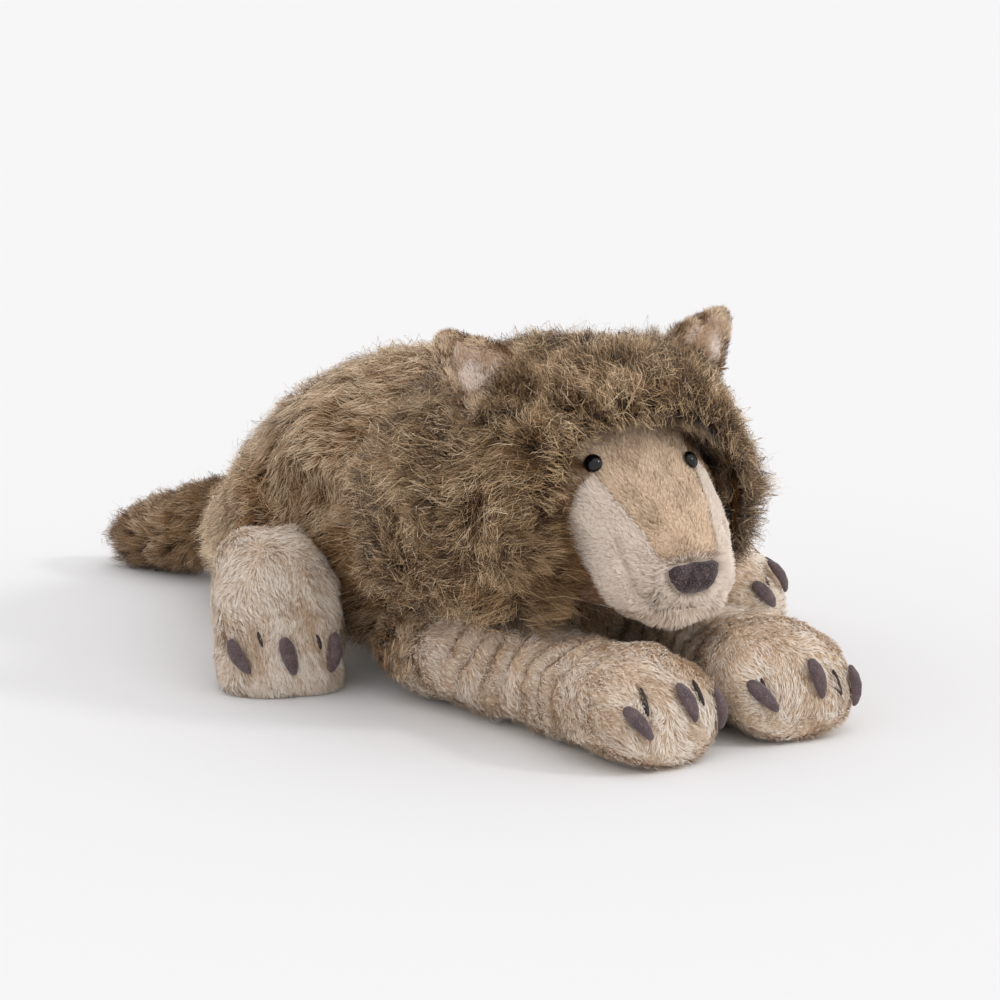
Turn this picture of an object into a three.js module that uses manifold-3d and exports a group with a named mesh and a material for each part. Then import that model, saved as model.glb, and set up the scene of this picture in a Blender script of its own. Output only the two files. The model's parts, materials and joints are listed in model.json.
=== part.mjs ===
import * as THREE from 'three';
import { mergeVertices } from 'three/addons/utils/BufferGeometryUtils.js';
import Module from 'manifold-3d';

// A plush wolf lying on its belly with its head on its front paws.
// Millimetres, +Z up, nose towards -Y, its left side towards +X.
// Places are measured from the shoulders' middle, and the whole toy is centred at the end.

const wasm = await Module();
wasm.setup();

// Seams, walls and clearances
const gap = 0.4;
const turnGap = 0.9;
const coverWall = 12;
const restDepth = 0.5;
const overrun = 400;
const barLead = 10;
const mergeDistance = 1e-4;

// How finely each kind of surface is faceted
const bodySides = 18;
const limbSides = 12;
const coreSides = 10;
const turnSides = 32;
const turnRings = 12;
const tailRootSides = 24;
const barSides = 12;

// Neck: the body ends in a ball that the head is hollowed to fit, with a pad between them
const neckY = -60;
const neckZ = 135;
const neckRadius = 128;
const neckPad = 12;
const neckPadReach = 70;
const hoodRim = 15;

// Body
const bodyFront = -70;
const bodyLength = 406;
const bodyHalfWidth = 136;
const bodyTop = 262;
const bellySeam = 34;
// How far the belly's round would reach under the floor that it lies flat on
const bellySink = 5;
const bodyRoundness = 2.05;

// Along the length: place, half width, top and underside
const bodyShares = [
  [0, 0, 0.73, 0.23],
  [0.074, 0.82, 0.947, 0.02],
  [0.197, 0.96, 0.992, 0],
  [0.333, 1, 1, 0],
  [0.468, 0.96, 0.95, 0],
  [0.603, 0.875, 0.824, 0],
  [0.727, 0.735, 0.656, 0],
  [0.85, 0.57, 0.504, 0.02],
  [0.948, 0.38, 0.405, 0.08],
  [1, 0, 0.34, 0.155],
];

// Mane hood
const headUnder = 91;
const maneFront = -262;
const maneHalfWidth = 149;
const maneTop = 294;
const maneWall = 14;
const maneRoundness = 2.2;
const maneShares = [
  [0, 0, 0.66, 0.445],
  [0.027, 0.61, 0.898, 0.293],
  [0.118, 0.785, 0.959, 0.259],
  [0.289, 0.933, 1, 0.211],
  [0.535, 0.987, 1, 0.17],
  [0.786, 1, 0.973, 0.136],
  [0.997, 0.973, 0.925, 0.102],
  [1, 0, 0.864, 0.207],
];

// The hood's opening for the face: across its half width and up its height
const windowHalf = 92;
const windowTop = 251;
const windowBack = -206;
const windowShares = [
  [-1, -0.2], [-1, 0.6], [-0.87, 0.82], [-0.52, 0.96], [0, 1],
  [0.52, 0.96], [0.87, 0.82], [1, 0.6], [1, -0.2],
];

// Face
const muzzleTip = -316;
const faceLength = 140;
const faceHalf = 96;
const faceTop = 260;
const faceWall = 10;
const faceRoundness = 2.15;
const faceShares = [
  [0, 0, 0.325, 0.16],
  [0.029, 0.38, 0.385, 0.047],
  [0.1, 0.55, 0.467, 0],
  [0.229, 0.67, 0.598, 0],
  [0.386, 0.775, 0.728, 0],
  [0.543, 0.87, 0.858, 0],
  [0.686, 0.96, 0.953, 0],
  [0.886, 1, 1, 0],
  [1, 0, 0.822, 0.17],
];
const chinSeam = 107;
const cheekSeamBack = 68;
const cheekSeamZ = 207;
const cheekSlantDeg = 8;

// The bridge widens from the nose to the forehead
const bridgeHalf = 64;
const bridgeLow = 148;
const bridgeTop = 256;
const bridgeShares = [
  [0.45, 0], [0.51, 0.16], [0.61, 0.32], [0.69, 0.47], [0.77, 0.62], [0.93, 0.76], [1, 1.2],
];

// Safety eyes and their washers
const eyeSize = 15;
const eyeSpread = { right: 47, left: 43 };
const eyeHeight = { right: 218, left: 211 };
const eyeBulge = 5;
const eyeShank = 4;
const eyeShankLength = 16;
const eyeSides = 12;
const eyeOutShares = [0.5, -0.66, 0.56];
const eyeDomeShares = [[0.86, 0], [1, 0.25], [0.92, 0.55], [0.71, 0.83], [0.38, 0.97]];
const washerSize = 16;
const washerThickness = 2;
const washerDepth = 8;

// Nose
const noseWidth = 64;
const noseHeight = 26;
const noseDepth = 12;
const noseZ = 132;
const noseSink = 5;
const noseTiltDeg = 14;
const noseChinShare = 0.5;
// Below 1 this swells the pad towards the corners of its box
const noseSquareness = 0.65;

// Ears
const earLength = 62;
const earWidth = 60;
const earThickness = 9;
const earInnerThickness = 3;
const earInnerShare = 0.74;
const earSpread = 93;
const earY = -184;
const earRollDeg = 34;
const earFoldDeg = { right: 40, left: 22 };
const earTipShift = { right: 0, left: 24 };
const earBulgeShare = 0.95;
const earBulgeHeightShare = 0.55;
const earTipShare = 0.14;
const earTipHeightShare = 0.97;
const earCrownShare = 1.02;

// Front legs
const shoulderX = 90;
const shoulderY = -80;
const legRadius = 42;
const legAxisZ = 45;
const frontLegReach = 298;
const frontLegInDeg = { right: 6.6, left: 3.8 };
const pawHalfWidth = 64;
const pawHeight = 90;
const legRoundness = 2.3;
const rootPoleShares = [-0.03, 0, 0.96, 0.04];
const frontLegShares = [
  [0, 0.68, 0.961, 0.04],
  [0.2, 0.69, 0.967, 0.02],
  [0.4, 0.68, 0.956, 0],
  [0.56, 0.71, 0.967, 0],
  [0.68, 0.84, 0.972, 0],
  [0.79, 1, 1, 0],
  [0.87, 1, 0.93, 0],
  [0.93, 0.93, 0.77, 0],
  [0.975, 0.74, 0.53, 0],
  [0.995, 0.45, 0.36, 0.06],
  [1, 0, 0.24, 0.18],
];
const legRecessZ = 91;
const chestHalfWidth = 28;

// Left hind leg, stretched out to the side
const hindLeftHipX = 142;
const hindLeftHipY = 60;
const hindLeftReach = 205;
const hindLeftOutDeg = 45.6;
const hindPawHalfWidth = 56;
const hindLeftHeight = 87;
const leftHipRecessFront = 84;
const leftHipRecessBack = 63;
const hindLeftShares = [
  [0, 0.74, 0.995, 0.04],
  [0.26, 0.77, 1, 0],
  [0.49, 0.89, 1, 0],
  [0.66, 1, 1, 0],
  [0.81, 1, 0.92, 0],
  [0.91, 0.84, 0.74, 0],
  [0.97, 0.57, 0.52, 0],
  [0.995, 0.36, 0.36, 0.04],
  [1, 0, 0.22, 0.18],
];

// Right hind leg, folded beside the body
const hipPlaneX = 115;
const hipY = 70;
const hipZ = 78;
const hipRadius = 42;
const hipStub = 50;
const hipRecessFront = 137;
const hipRecessBack = 64;
const hindRightX = 171;
const hindRightY = 14;
const hindRightTop = 136;
const hindRightLean = 12;
const hindRightFoot = 50;
const hindRightCrownShare = -0.42;
const hindToeOutDeg = 26;
const hindRoundness = 2.5;

// Up the height: place, half width, reach to the toes and to the heel
const hindRightShares = [
  [0.13, 1, 0.92, 1],
  [0.31, 1, 0.94, 1],
  [0.485, 1, 0.84, 1.04],
  [0.65, 0.965, 0.66, 1.06],
  [0.78, 0.86, 0.42, 1],
  [0.88, 0.68, 0.16, 0.88],
  [0.963, 0.39, -0.16, 0.68],
];
const hindRightSoleShares = [0.95, 0.8, 0.92];

// Claws
const clawLength = 38;
const clawWidth = 13;
const clawThickness = 10;
const clawSides = 7;
const clawRings = 6;
const clawProudShare = 0.22;
const clawTaperShare = 0.2;
const clawSagShare = 0.3;
const clawLiftShare = 0.35;
const frontClaws = {
  rootZ: 26,
  backFromTip: 62,
  forwardShare: 1.1,
  turnsDeg: [-38, 12, 45],
  risesDeg: [14, 24, 10],
};
const hindLeftClaws = {
  rootZ: 30,
  backFromTip: 56,
  forwardShare: 1.1,
  turnsDeg: [-45, 0, 45],
  risesDeg: [10, 20, 10],
};
const hindRightClaws = {
  rootZ: 34,
  forwardShare: 0.4,
  turnsDeg: [-48, 0, 48],
  risesDeg: [2, 4, 2],
};

// Tail
const tailSink = 4;
const tailY = bodyFront + bodyLength - tailSink;
const tailZ = 66;
const tailRadius = 34;
const tailLength = 146;
const tailTurnDeg = 19;
const tailRootPoleShares = [-0.06, 0, 1, -1];
const tailShares = [
  [0, 0.985, 0.985, -0.985],
  [0.25, 1.09, 0.85, -1.35],
  [0.5, 1.09, 0.47, -1.78],
  [0.72, 1, 0.12, -1.88],
  [0.875, 0.735, -0.29, -1.85],
  [0.96, 0.41, -0.65, -1.65],
  [1, 0, -0.94, -1.35],
];

const colours = {
  back: 0x7d6c50,
  belly: 0xd9cdbb,
  mane: 0x857455,
  bridge: 0xb69c7c,
  cheek: 0x9c7f60,
  muzzle: 0xd8cbb8,
  ear: 0xb49a7c,
  earInner: 0xd9c8b6,
  leg: 0xb8a68e,
  suede: 0x5a4b50,
  eye: 0x0c0b0b,
  stuffing: 0xf0efec,
  washer: 0xe6e6e2,
};

const axisX = new THREE.Vector3(1, 0, 0);
const axisY = new THREE.Vector3(0, 1, 0);
const axisZ = new THREE.Vector3(0, 0, 1);
const radians = THREE.MathUtils.degToRad;

// A closed mesh as a solid, with its faces turned outwards
function solidOf(positions, faces) {
  const solid = new wasm.Manifold(new wasm.Mesh({
    numProp: 3,
    vertProperties: Float32Array.from(positions),
    triVerts: Uint32Array.from(faces.flat()),
  }));
  return solid.volume() > 0 ? solid : solidOf(positions, faces.map(([a, b, c]) => [a, c, b]));
}

function toSolid(geometry) {
  const bare = geometry.clone();
  bare.deleteAttribute('normal');
  bare.deleteAttribute('uv');
  const merged = mergeVertices(bare, mergeDistance);
  const faces = [];
  for (let i = 0; i < merged.index.count; i += 3) {
    const face = [0, 1, 2].map((corner) => merged.index.getX(i + corner));
    if (new Set(face).size === 3) faces.push(face);
  }
  return solidOf(merged.attributes.position.array, faces);
}

function toGeometry(solid) {
  const mesh = solid.getMesh();
  const geometry = new THREE.BufferGeometry();
  geometry.setAttribute('position', new THREE.BufferAttribute(new Float32Array(mesh.vertProperties), 3));
  geometry.setIndex(new THREE.BufferAttribute(new Uint32Array(mesh.triVerts), 1));
  geometry.computeVertexNormals();
  return geometry;
}

function piece(parent, name, solid, colour, roughness = 0.95) {
  const material = new THREE.MeshStandardMaterial({ color: colour, roughness, metalness: 0 });
  const mesh = new THREE.Mesh(toGeometry(solid), material);
  mesh.name = name;
  parent.add(mesh);
  return mesh;
}

function block(low, high) {
  const size = high.map((value, i) => value - low[i]);
  const centre = high.map((value, i) => (value + low[i]) / 2);
  return toSolid(new THREE.BoxGeometry(...size).translate(...centre));
}

const everywhere = 2 * overrun;
const below = (z) => block([-everywhere, -everywhere, -overrun], [everywhere, everywhere, z]);
const above = (z) => block([-everywhere, -everywhere, z], [everywhere, everywhere, everywhere]);
const inFrontOf = (y) => block([-everywhere, -everywhere, -overrun], [everywhere, y, everywhere]);

function cutAll(solid, cutters) {
  return cutters.reduce((left, cutter) => left.subtract(cutter), solid);
}

// A ball whose facets run round the axis that it turns about
function ball(centre, radius, axis, sides, rings = sides / 2) {
  const geometry = new THREE.SphereGeometry(radius, sides, rings);
  const turn = new THREE.Quaternion().setFromUnitVectors(axisY, axis);
  return toSolid(geometry.applyQuaternion(turn).translate(centre.x, centre.y, centre.z));
}

// A round bar from a little behind a point
function bar(start, direction, radius, length) {
  const whole = length + barLead;
  const geometry = new THREE.CylinderGeometry(radius, radius, whole, barSides);
  geometry.translate(0, whole / 2 - barLead, 0);
  const turn = new THREE.Quaternion().setFromUnitVectors(axisY, direction);
  return toSolid(geometry.applyQuaternion(turn).translate(start.x, start.y, start.z));
}

// Where a line meets a solid's surface, nearest first
function surfaceHits(solid, start, direction) {
  const target = new THREE.Mesh(toGeometry(solid), new THREE.MeshBasicMaterial({ side: THREE.DoubleSide }));
  return new THREE.Raycaster(start, direction).intersectObject(target);
}

// A closed skin through rings of points, with a pole at each end
function loft(rings, startPole, endPole) {
  const sides = rings[0].length;
  const points = [startPole, ...rings.flat(), endPole];
  const last = points.length - 1;
  const at = (ringIndex, side) => 1 + ringIndex * sides + (side % sides);
  const faces = [];
  for (let side = 0; side < sides; side++) {
    faces.push([0, at(0, side + 1), at(0, side)]);
    for (let i = 0; i + 1 < rings.length; i++) {
      faces.push([at(i, side), at(i, side + 1), at(i + 1, side + 1)]);
      faces.push([at(i, side), at(i + 1, side + 1), at(i + 1, side)]);
    }
    faces.push([last, at(rings.length - 1, side), at(rings.length - 1, side + 1)]);
  }
  return solidOf(points.flatMap((point) => point.toArray()), faces);
}

// One ring round a centre: roundness 2 is an ellipse, more is squarer
function ring(centre, side, up, halfWidth, halfUp, sides, roundness) {
  return Array.from({ length: sides }, (_, i) => {
    const angle = (2 * Math.PI * i) / sides;
    const c = Math.cos(angle);
    const s = Math.sin(angle);
    const reach = (Math.abs(c) ** roundness + Math.abs(s) ** roundness) ** (-1 / roundness);
    return centre.clone()
      .addScaledVector(side, c * reach * halfWidth)
      .addScaledVector(up, s * reach * halfUp);
  });
}

// A swelling form along a level line, from rows of shares: place, half width, top and underside.
// inset makes it smaller all round, and at its two ends by the form's own end shares.
function skinAlong(form, inset) {
  const { start, along, reach, halfWidth, low, height, roundness } = form;
  const side = new THREE.Vector3(along.y, -along.x, 0);
  const sides = inset > turnGap ? coreSides : form.sides;
  const [startShare, endShare] = form.endShares;
  const centre = ([place, , top, under]) => {
    const distance = place * reach + inset * (startShare * (1 - place) - endShare * place);
    const z = low + (height * (top + under)) / 2;
    return start.clone().addScaledVector(along, distance).setZ(z);
  };
  const rings = form.shares.slice(1, -1).map((row) => {
    const half = (height * (row[2] - row[3])) / 2 - inset;
    return ring(centre(row), side, axisZ, row[1] * halfWidth - inset, half, sides, roundness);
  });
  return loft(rings, centre(form.shares[0]), centre(form.shares.at(-1)));
}

// Body
const bodyForm = {
  start: new THREE.Vector3(0, bodyFront, 0),
  along: axisY,
  reach: bodyLength,
  halfWidth: bodyHalfWidth,
  low: -bellySink,
  height: bodyTop + bellySink,
  roundness: bodyRoundness,
  sides: bodySides,
  endShares: [1, 1],
  shares: bodyShares,
};

const neckCentre = new THREE.Vector3(0, neckY, neckZ);
const tailRoot = new THREE.Vector3(0, tailY, tailZ);
const outerNeck = neckRadius + neckPad;

// The ball at the body's front turns about a vertical axis inside the neck's pad
function neckBall(inset) {
  if (inset > turnGap) return ball(neckCentre, neckRadius - inset, axisZ, coreSides * 2);
  return ball(neckCentre, neckRadius - inset, axisZ, turnSides, turnRings);
}

// What the limbs need free of the body, grown by the depth of the cover
function limbRecesses(depth) {
  const shoulders = [-1, 1].map((side) => {
    const [left, right] = [side * (chestHalfWidth - depth), side * everywhere].sort((a, b) => a - b);
    const back = shoulderY + legRadius + gap + depth;
    return block([left, -everywhere, -overrun], [right, back, legRecessZ + depth]);
  });
  const rightHip = block(
    [-everywhere, hipY - hipRecessFront - depth, -overrun],
    [-hipPlaneX + gap / 2 + depth, hipY + hipRecessBack + depth, hindRightTop + hipRadius + depth],
  );
  const leftHip = block(
    [hindLeftHipX - legRadius - gap - depth, hindLeftHipY - leftHipRecessFront - depth, -overrun],
    [everywhere, hindLeftHipY + leftHipRecessBack + depth, legRecessZ + depth],
  );
  const tailEnd = block([-everywhere, tailY - depth, -overrun], [everywhere, everywhere, everywhere]);
  const tailSocket = ball(tailRoot, tailRadius + gap + depth, axisZ, tailRootSides);
  return [...shoulders, rightHip, leftHip, tailSocket, tailEnd];
}

function bodyFilling(inset) {
  const skin = skinAlong(bodyForm, inset).add(neckBall(inset));
  return cutAll(skin, limbRecesses(inset)).subtract(below(inset));
}

function buildBody() {
  const body = new THREE.Group();
  const wall = bodyFilling(0).subtract(bodyFilling(coverWall));
  piece(body, 'back_cover', wall.subtract(below(bellySeam)), colours.back);
  piece(body, 'belly_panel', wall.subtract(above(bellySeam - gap)), colours.belly);
  piece(body, 'body_stuffing', bodyFilling(coverWall + gap), colours.stuffing);
  return body;
}

function buildNeck() {
  const reach = block([-everywhere, -everywhere, headUnder], [everywhere, neckY - neckPadReach, everywhere]);
  const pad = ball(neckCentre, outerNeck, axisX, turnSides, turnRings)
    .subtract(neckBall(-turnGap))
    .intersect(reach);
  const neck = new THREE.Group();
  piece(neck, 'neck_stuffing', pad, colours.stuffing);
  return neck;
}

// Head
const maneRear = neckY - hoodRim;
const maneForm = {
  start: new THREE.Vector3(0, maneFront, 0),
  along: axisY,
  reach: maneRear - maneFront,
  halfWidth: maneHalfWidth,
  low: 0,
  height: maneTop,
  roundness: maneRoundness,
  sides: bodySides,
  endShares: [1, -2],
  shares: maneShares,
};

const faceForm = {
  start: new THREE.Vector3(0, muzzleTip, 0),
  along: axisY,
  reach: faceLength,
  halfWidth: faceHalf,
  low: headUnder,
  height: faceTop - headUnder,
  roundness: faceRoundness,
  sides: bodySides,
  endShares: [1, 1],
  shares: faceShares,
};

// A prism along Y of an outline seen from the front
function frontPrism(outline) {
  const shape = new THREE.Shape(outline.map(([x, z]) => new THREE.Vector2(x, z)));
  const geometry = new THREE.ExtrudeGeometry(shape, { depth: overrun, bevelEnabled: false });
  return toSolid(geometry.rotateX(Math.PI / 2));
}

function faceWindow(grow) {
  const outline = windowShares.map(([x, z]) => [
    x * (windowHalf + grow),
    headUnder + z * (windowTop + grow - headUnder),
  ]);
  return frontPrism(outline).intersect(inFrontOf(windowBack + grow));
}

function maneBody(inset) {
  return skinAlong(maneForm, inset).subtract(faceWindow(inset));
}

// The head's hollow nods about the line from side to side through the neck's centre
const headHollow = () => ball(neckCentre, outerNeck + turnGap, axisX, turnSides, turnRings);

function eyeFrame(side, name) {
  const [outX, outY, outZ] = eyeOutShares;
  const front = new THREE.Vector3(side * eyeSpread[name], -overrun, eyeHeight[name]);
  const out = new THREE.Vector3(side * outX, outY, outZ).normalize();
  return {
    seat: surfaceHits(skinAlong(faceForm, 0), front, axisY)[0].point,
    turn: new THREE.Quaternion().setFromUnitVectors(axisY, out),
  };
}

function turned(profile) {
  const points = profile.map(([radius, height]) => new THREE.Vector2(radius, height));
  return new THREE.LatheGeometry(points, eyeSides);
}

// A round recess square to an eye's seat
function recess(frame, radius, low, high) {
  const geometry = turned([[0, low], [radius, low], [radius, high], [0, high]]);
  const { x, y, z } = frame.seat;
  return toSolid(geometry.applyQuaternion(frame.turn).translate(x, y, z));
}

function eyeSolid() {
  const dome = eyeDomeShares.map(([out, up]) => [(eyeSize / 2) * out, gap + eyeBulge * up]);
  return toSolid(turned([
    [0, -eyeShankLength], [eyeShank / 2, -eyeShankLength], [eyeShank / 2, gap],
    ...dome, [0, gap + eyeBulge],
  ]));
}

function washerSolid() {
  const top = -washerDepth - gap;
  const hole = eyeShank / 2 + gap;
  return toSolid(turned([
    [hole, top - washerThickness], [washerSize / 2, top - washerThickness],
    [washerSize / 2, top], [hole, top], [hole, top - washerThickness],
  ]));
}

function seated(mesh, frame) {
  mesh.position.copy(frame.seat);
  mesh.quaternion.copy(frame.turn);
}

function cutForEye(shell, frame) {
  return cutAll(shell, [
    recess(frame, eyeSize / 2 + gap, 0, eyeSize),
    recess(frame, eyeShank / 2 + gap, -eyeShankLength * 2, eyeSize),
    recess(frame, washerSize / 2 + gap, -eyeShankLength * 2, -washerDepth),
  ]);
}

function buildHead() {
  const head = new THREE.Group();
  const eyes = { right: eyeFrame(-1, 'right'), left: eyeFrame(1, 'left') };
  const hollow = headHollow();
  const low = below(headUnder);
  const hood = maneBody(0).subtract(maneBody(maneWall)).intersect(inFrontOf(maneRear));
  piece(head, 'mane_hood', cutAll(hood, [hollow, skinAlong(faceForm, -gap), low]), colours.mane);

  let shell = skinAlong(faceForm, 0).subtract(skinAlong(faceForm, faceWall)).subtract(low)
    .intersect(inFrontOf(windowBack + maneWall / 2));
  let filling = maneBody(maneWall + gap)
    .intersect(inFrontOf(maneRear))
    .add(skinAlong(faceForm, faceWall + gap));
  filling = cutAll(filling, [hollow, below(headUnder + maneWall)]);
  for (const [side, frame] of Object.entries(eyes)) {
    shell = cutForEye(shell, frame);
    filling = filling.subtract(recess(frame, washerSize / 2 + gap, -eyeShankLength - gap, 0));
    seated(piece(head, `eye_${side}`, eyeSolid(), colours.eye, 0.15), frame);
    seated(piece(head, `eye_washer_${side}`, washerSolid(), colours.washer, 0.5), frame);
  }
  piece(head, 'head_stuffing', filling, colours.stuffing);
  buildFace(head, shell);
  buildNose(head);
  return head;
}

// The face's shell is sewn from a bridge, two cheeks, two muzzle sides and a chin
function buildFace(head, shell) {
  const climb = bridgeTop - bridgeLow;
  const bridgeSide = (side, grow) => bridgeShares.map(([x, z]) => [
    side * (x * bridgeHalf + grow),
    bridgeLow + z * climb,
  ]);
  const bridge = (grow) => frontPrism([
    [-bridgeShares[0][0] * bridgeHalf - grow, bridgeLow - grow],
    ...bridgeSide(-1, grow), ...bridgeSide(1, grow).reverse(),
    [bridgeShares[0][0] * bridgeHalf + grow, bridgeLow - grow],
  ]);
  piece(head, 'face_bridge', shell.intersect(bridge(0)), colours.bridge);
  const rest = shell.subtract(bridge(gap));
  piece(head, 'chin', rest.intersect(below(chinSeam)), colours.muzzle);
  const flanks = rest.subtract(below(chinSeam + gap));
  for (const [side, name] of [[-1, 'right'], [1, 'left']]) {
    const [from, to] = [(side * gap) / 2, side * everywhere].sort((a, b) => a - b);
    const flank = flanks.intersect(block([from, -everywhere, -overrun], [to, everywhere, everywhere]));
    piece(head, `cheek_${name}`, flank.intersect(behindCheekSeam(0)), colours.cheek);
    piece(head, `muzzle_side_${name}`, flank.subtract(behindCheekSeam(gap)), colours.muzzle);
  }
}

// The cheek's seam runs down and back from below the eye
function behindCheekSeam(grow) {
  const geometry = new THREE.BoxGeometry(everywhere, overrun, everywhere).translate(0, overrun / 2 - grow, 0);
  geometry.rotateX(radians(cheekSlantDeg)).translate(0, muzzleTip + cheekSeamBack, cheekSeamZ);
  return toSolid(geometry);
}

// The nose is an upside-down soft triangle, flattened and seated on the muzzle
function buildNose(head) {
  const geometry = new THREE.SphereGeometry(1, 12, 8);
  const position = geometry.attributes.position;
  const swell = (share) => Math.sign(share) * Math.abs(share) ** noseSquareness;
  for (let i = 0; i < position.count; i++) {
    const [across, along, up] = [position.getX(i), position.getY(i), position.getZ(i)].map(swell);
    const half = (noseWidth / 2) * (1 - (noseChinShare * (1 - up)) / 2);
    position.setXYZ(i, across * half, along * noseDepth, (up * noseHeight) / 2);
  }
  geometry.rotateX(radians(-noseTiltDeg)).translate(0, muzzleTip + noseSink, noseZ);
  piece(head, 'nose', toSolid(geometry).subtract(skinAlong(faceForm, -gap)), colours.suede);
}

// Ears: x along the base, z up the ear, the hinge line along x through the origin
function earOutline(sizeShare, lift, tipShift) {
  const half = (earWidth / 2) * sizeShare;
  const top = earLength * sizeShare;
  const tip = tipShift * sizeShare;
  const bulge = half * earBulgeShare;
  const blunt = half * earTipShare;
  const shape = new THREE.Shape();
  shape.moveTo(-half, lift);
  shape.quadraticCurveTo(-bulge + tip / 2, top * earBulgeHeightShare, -blunt + tip, top * earTipHeightShare);
  shape.quadraticCurveTo(tip, top * earCrownShare, blunt + tip, top * earTipHeightShare);
  shape.quadraticCurveTo(bulge + tip / 2, top * earBulgeHeightShare, half, lift);
  return shape;
}

// A flat plate of an ear's outline, upright, with its back at y
function earPlate(outline, depth, y) {
  const geometry = new THREE.ExtrudeGeometry(outline, { depth, bevelEnabled: false, curveSegments: 6 });
  return toSolid(geometry.rotateX(Math.PI / 2).translate(0, y, 0));
}

// The hinge line lies just clear of the hood, half the ear's thickness above its seat
function earHinge(side) {
  const start = new THREE.Vector3(side * earSpread, earY, overrun);
  const seat = surfaceHits(skinAlong(maneForm, 0), start, axisZ.clone().negate())[0].point;
  const normal = axisZ.clone().applyAxisAngle(axisY, side * radians(earRollDeg));
  return seat.addScaledVector(normal, earThickness / 2 + gap);
}

function buildEar(side, name) {
  const ear = new THREE.Group();
  ear.position.copy(earHinge(side));
  ear.rotation.set(-radians(earFoldDeg[name]), side * radians(earRollDeg), 0, 'YXZ');
  const fold = new THREE.CylinderGeometry(earThickness / 2, earThickness / 2, earWidth, barSides);
  const tipShift = side * earTipShift[name];
  const outer = earPlate(earOutline(1, 0, tipShift), earThickness, earThickness / 2)
    .add(toSolid(fold.rotateZ(Math.PI / 2)));
  piece(ear, `ear_${name}_outer`, outer, colours.ear);
  const innerOutline = earOutline(earInnerShare, earThickness, tipShift);
  const inner = earPlate(innerOutline, earInnerThickness, -earThickness / 2 - gap);
  piece(ear, `ear_${name}_inner`, inner, colours.earInner);
  return ear;
}

// A claw is a tapered, flattened bar: x across, y towards its tip, z off the paw
function clawSolid(place, tipwards, normal) {
  const geometry = new THREE.SphereGeometry(1, clawSides, clawRings);
  const position = geometry.attributes.position;
  for (let i = 0; i < position.count; i++) {
    const along = position.getY(i);
    const taper = 1 - clawTaperShare * (1 + along);
    const across = (position.getX(i) * taper * clawWidth) / 2;
    const off = clawThickness * (position.getZ(i) / 2 - clawSagShare * along * along);
    position.setXYZ(i, across, (along * clawLength) / 2, off);
  }
  const across = new THREE.Vector3().crossVectors(tipwards, normal);
  geometry.applyMatrix4(new THREE.Matrix4().makeBasis(across, tipwards, normal));
  return toSolid(geometry.translate(place.x, place.y, place.z));
}

// Three claws lie on the front of a paw, from the toy's right to its left, pointing forwards and down
function buildClaws(leg, prefix, centre, forward, claws, skin) {
  const names = prefix.endsWith('left') ? ['inner', 'middle', 'outer'] : ['outer', 'middle', 'inner'];
  const surface = skin(0);
  const grown = skin(-gap);
  names.forEach((name, i) => {
    const out = forward.clone().applyAxisAngle(axisZ, radians(claws.turnsDeg[i]));
    const rise = radians(claws.risesDeg[i]);
    const ray = out.clone().multiplyScalar(Math.cos(rise)).addScaledVector(axisZ, Math.sin(rise));
    const start = new THREE.Vector3(centre.x, centre.y, claws.rootZ);
    const hit = surfaceHits(surface, start, ray).at(-1);
    const normal = hit.face.normal.clone().lerp(ray, clawLiftShare).normalize();
    const wish = forward.clone().multiplyScalar(claws.forwardShare).sub(axisZ);
    const tipwards = wish.addScaledVector(normal, -wish.dot(normal)).normalize();
    const place = hit.point.clone().addScaledVector(normal, clawThickness * clawProudShare);
    piece(leg, `${prefix}_claw_${name}`, clawSolid(place, tipwards, normal).subtract(grown), colours.suede);
  });
}

// A limb's cover is open where it is sewn on, and its filling shows there
function buildLimb(name, skin, opening, colour) {
  const limb = new THREE.Group();
  const inside = (inset) => skin(inset).subtract(below(inset)).add(opening(inset));
  const outer = skin(0).subtract(below(0));
  piece(limb, `${name}_cover`, outer.subtract(inside(coverWall)), colour);
  piece(limb, `${name}_stuffing`, inside(coverWall + gap).intersect(outer), colours.stuffing);
  return limb;
}

// A level limb with a ball at its root
function limbWithRoot(form, root, radius, inset, rootSides = limbSides) {
  const sides = inset > turnGap ? coreSides : rootSides;
  return skinAlong(form, inset).add(ball(root, radius - inset, axisZ, sides));
}

function legForm(root, along, reach, halfWidth, height, shares) {
  return {
    start: new THREE.Vector3(root.x, root.y, 0),
    along,
    reach,
    halfWidth,
    low: -restDepth,
    height: height + restDepth,
    roundness: legRoundness,
    sides: limbSides,
    endShares: [0, 1],
    shares: [rootPoleShares, ...shares],
  };
}

function buildFrontLeg(side, name) {
  const root = new THREE.Vector3(side * shoulderX, shoulderY, legAxisZ);
  const along = axisY.clone().negate().applyAxisAngle(axisZ, -side * radians(frontLegInDeg[name]));
  const form = legForm(root, along, frontLegReach, pawHalfWidth, pawHeight, frontLegShares);
  const skin = (inset) => limbWithRoot(form, root, legRadius, inset);
  const opening = (inset) => bar(root, along.clone().negate(), legRadius - inset, legRadius + gap);
  const leg = buildLimb(`front_leg_${name}`, skin, opening, colours.leg);
  const centre = root.clone().addScaledVector(along, frontLegReach - frontClaws.backFromTip);
  buildClaws(leg, `front_${name}`, centre, along, frontClaws, skin);
  return leg;
}

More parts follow.
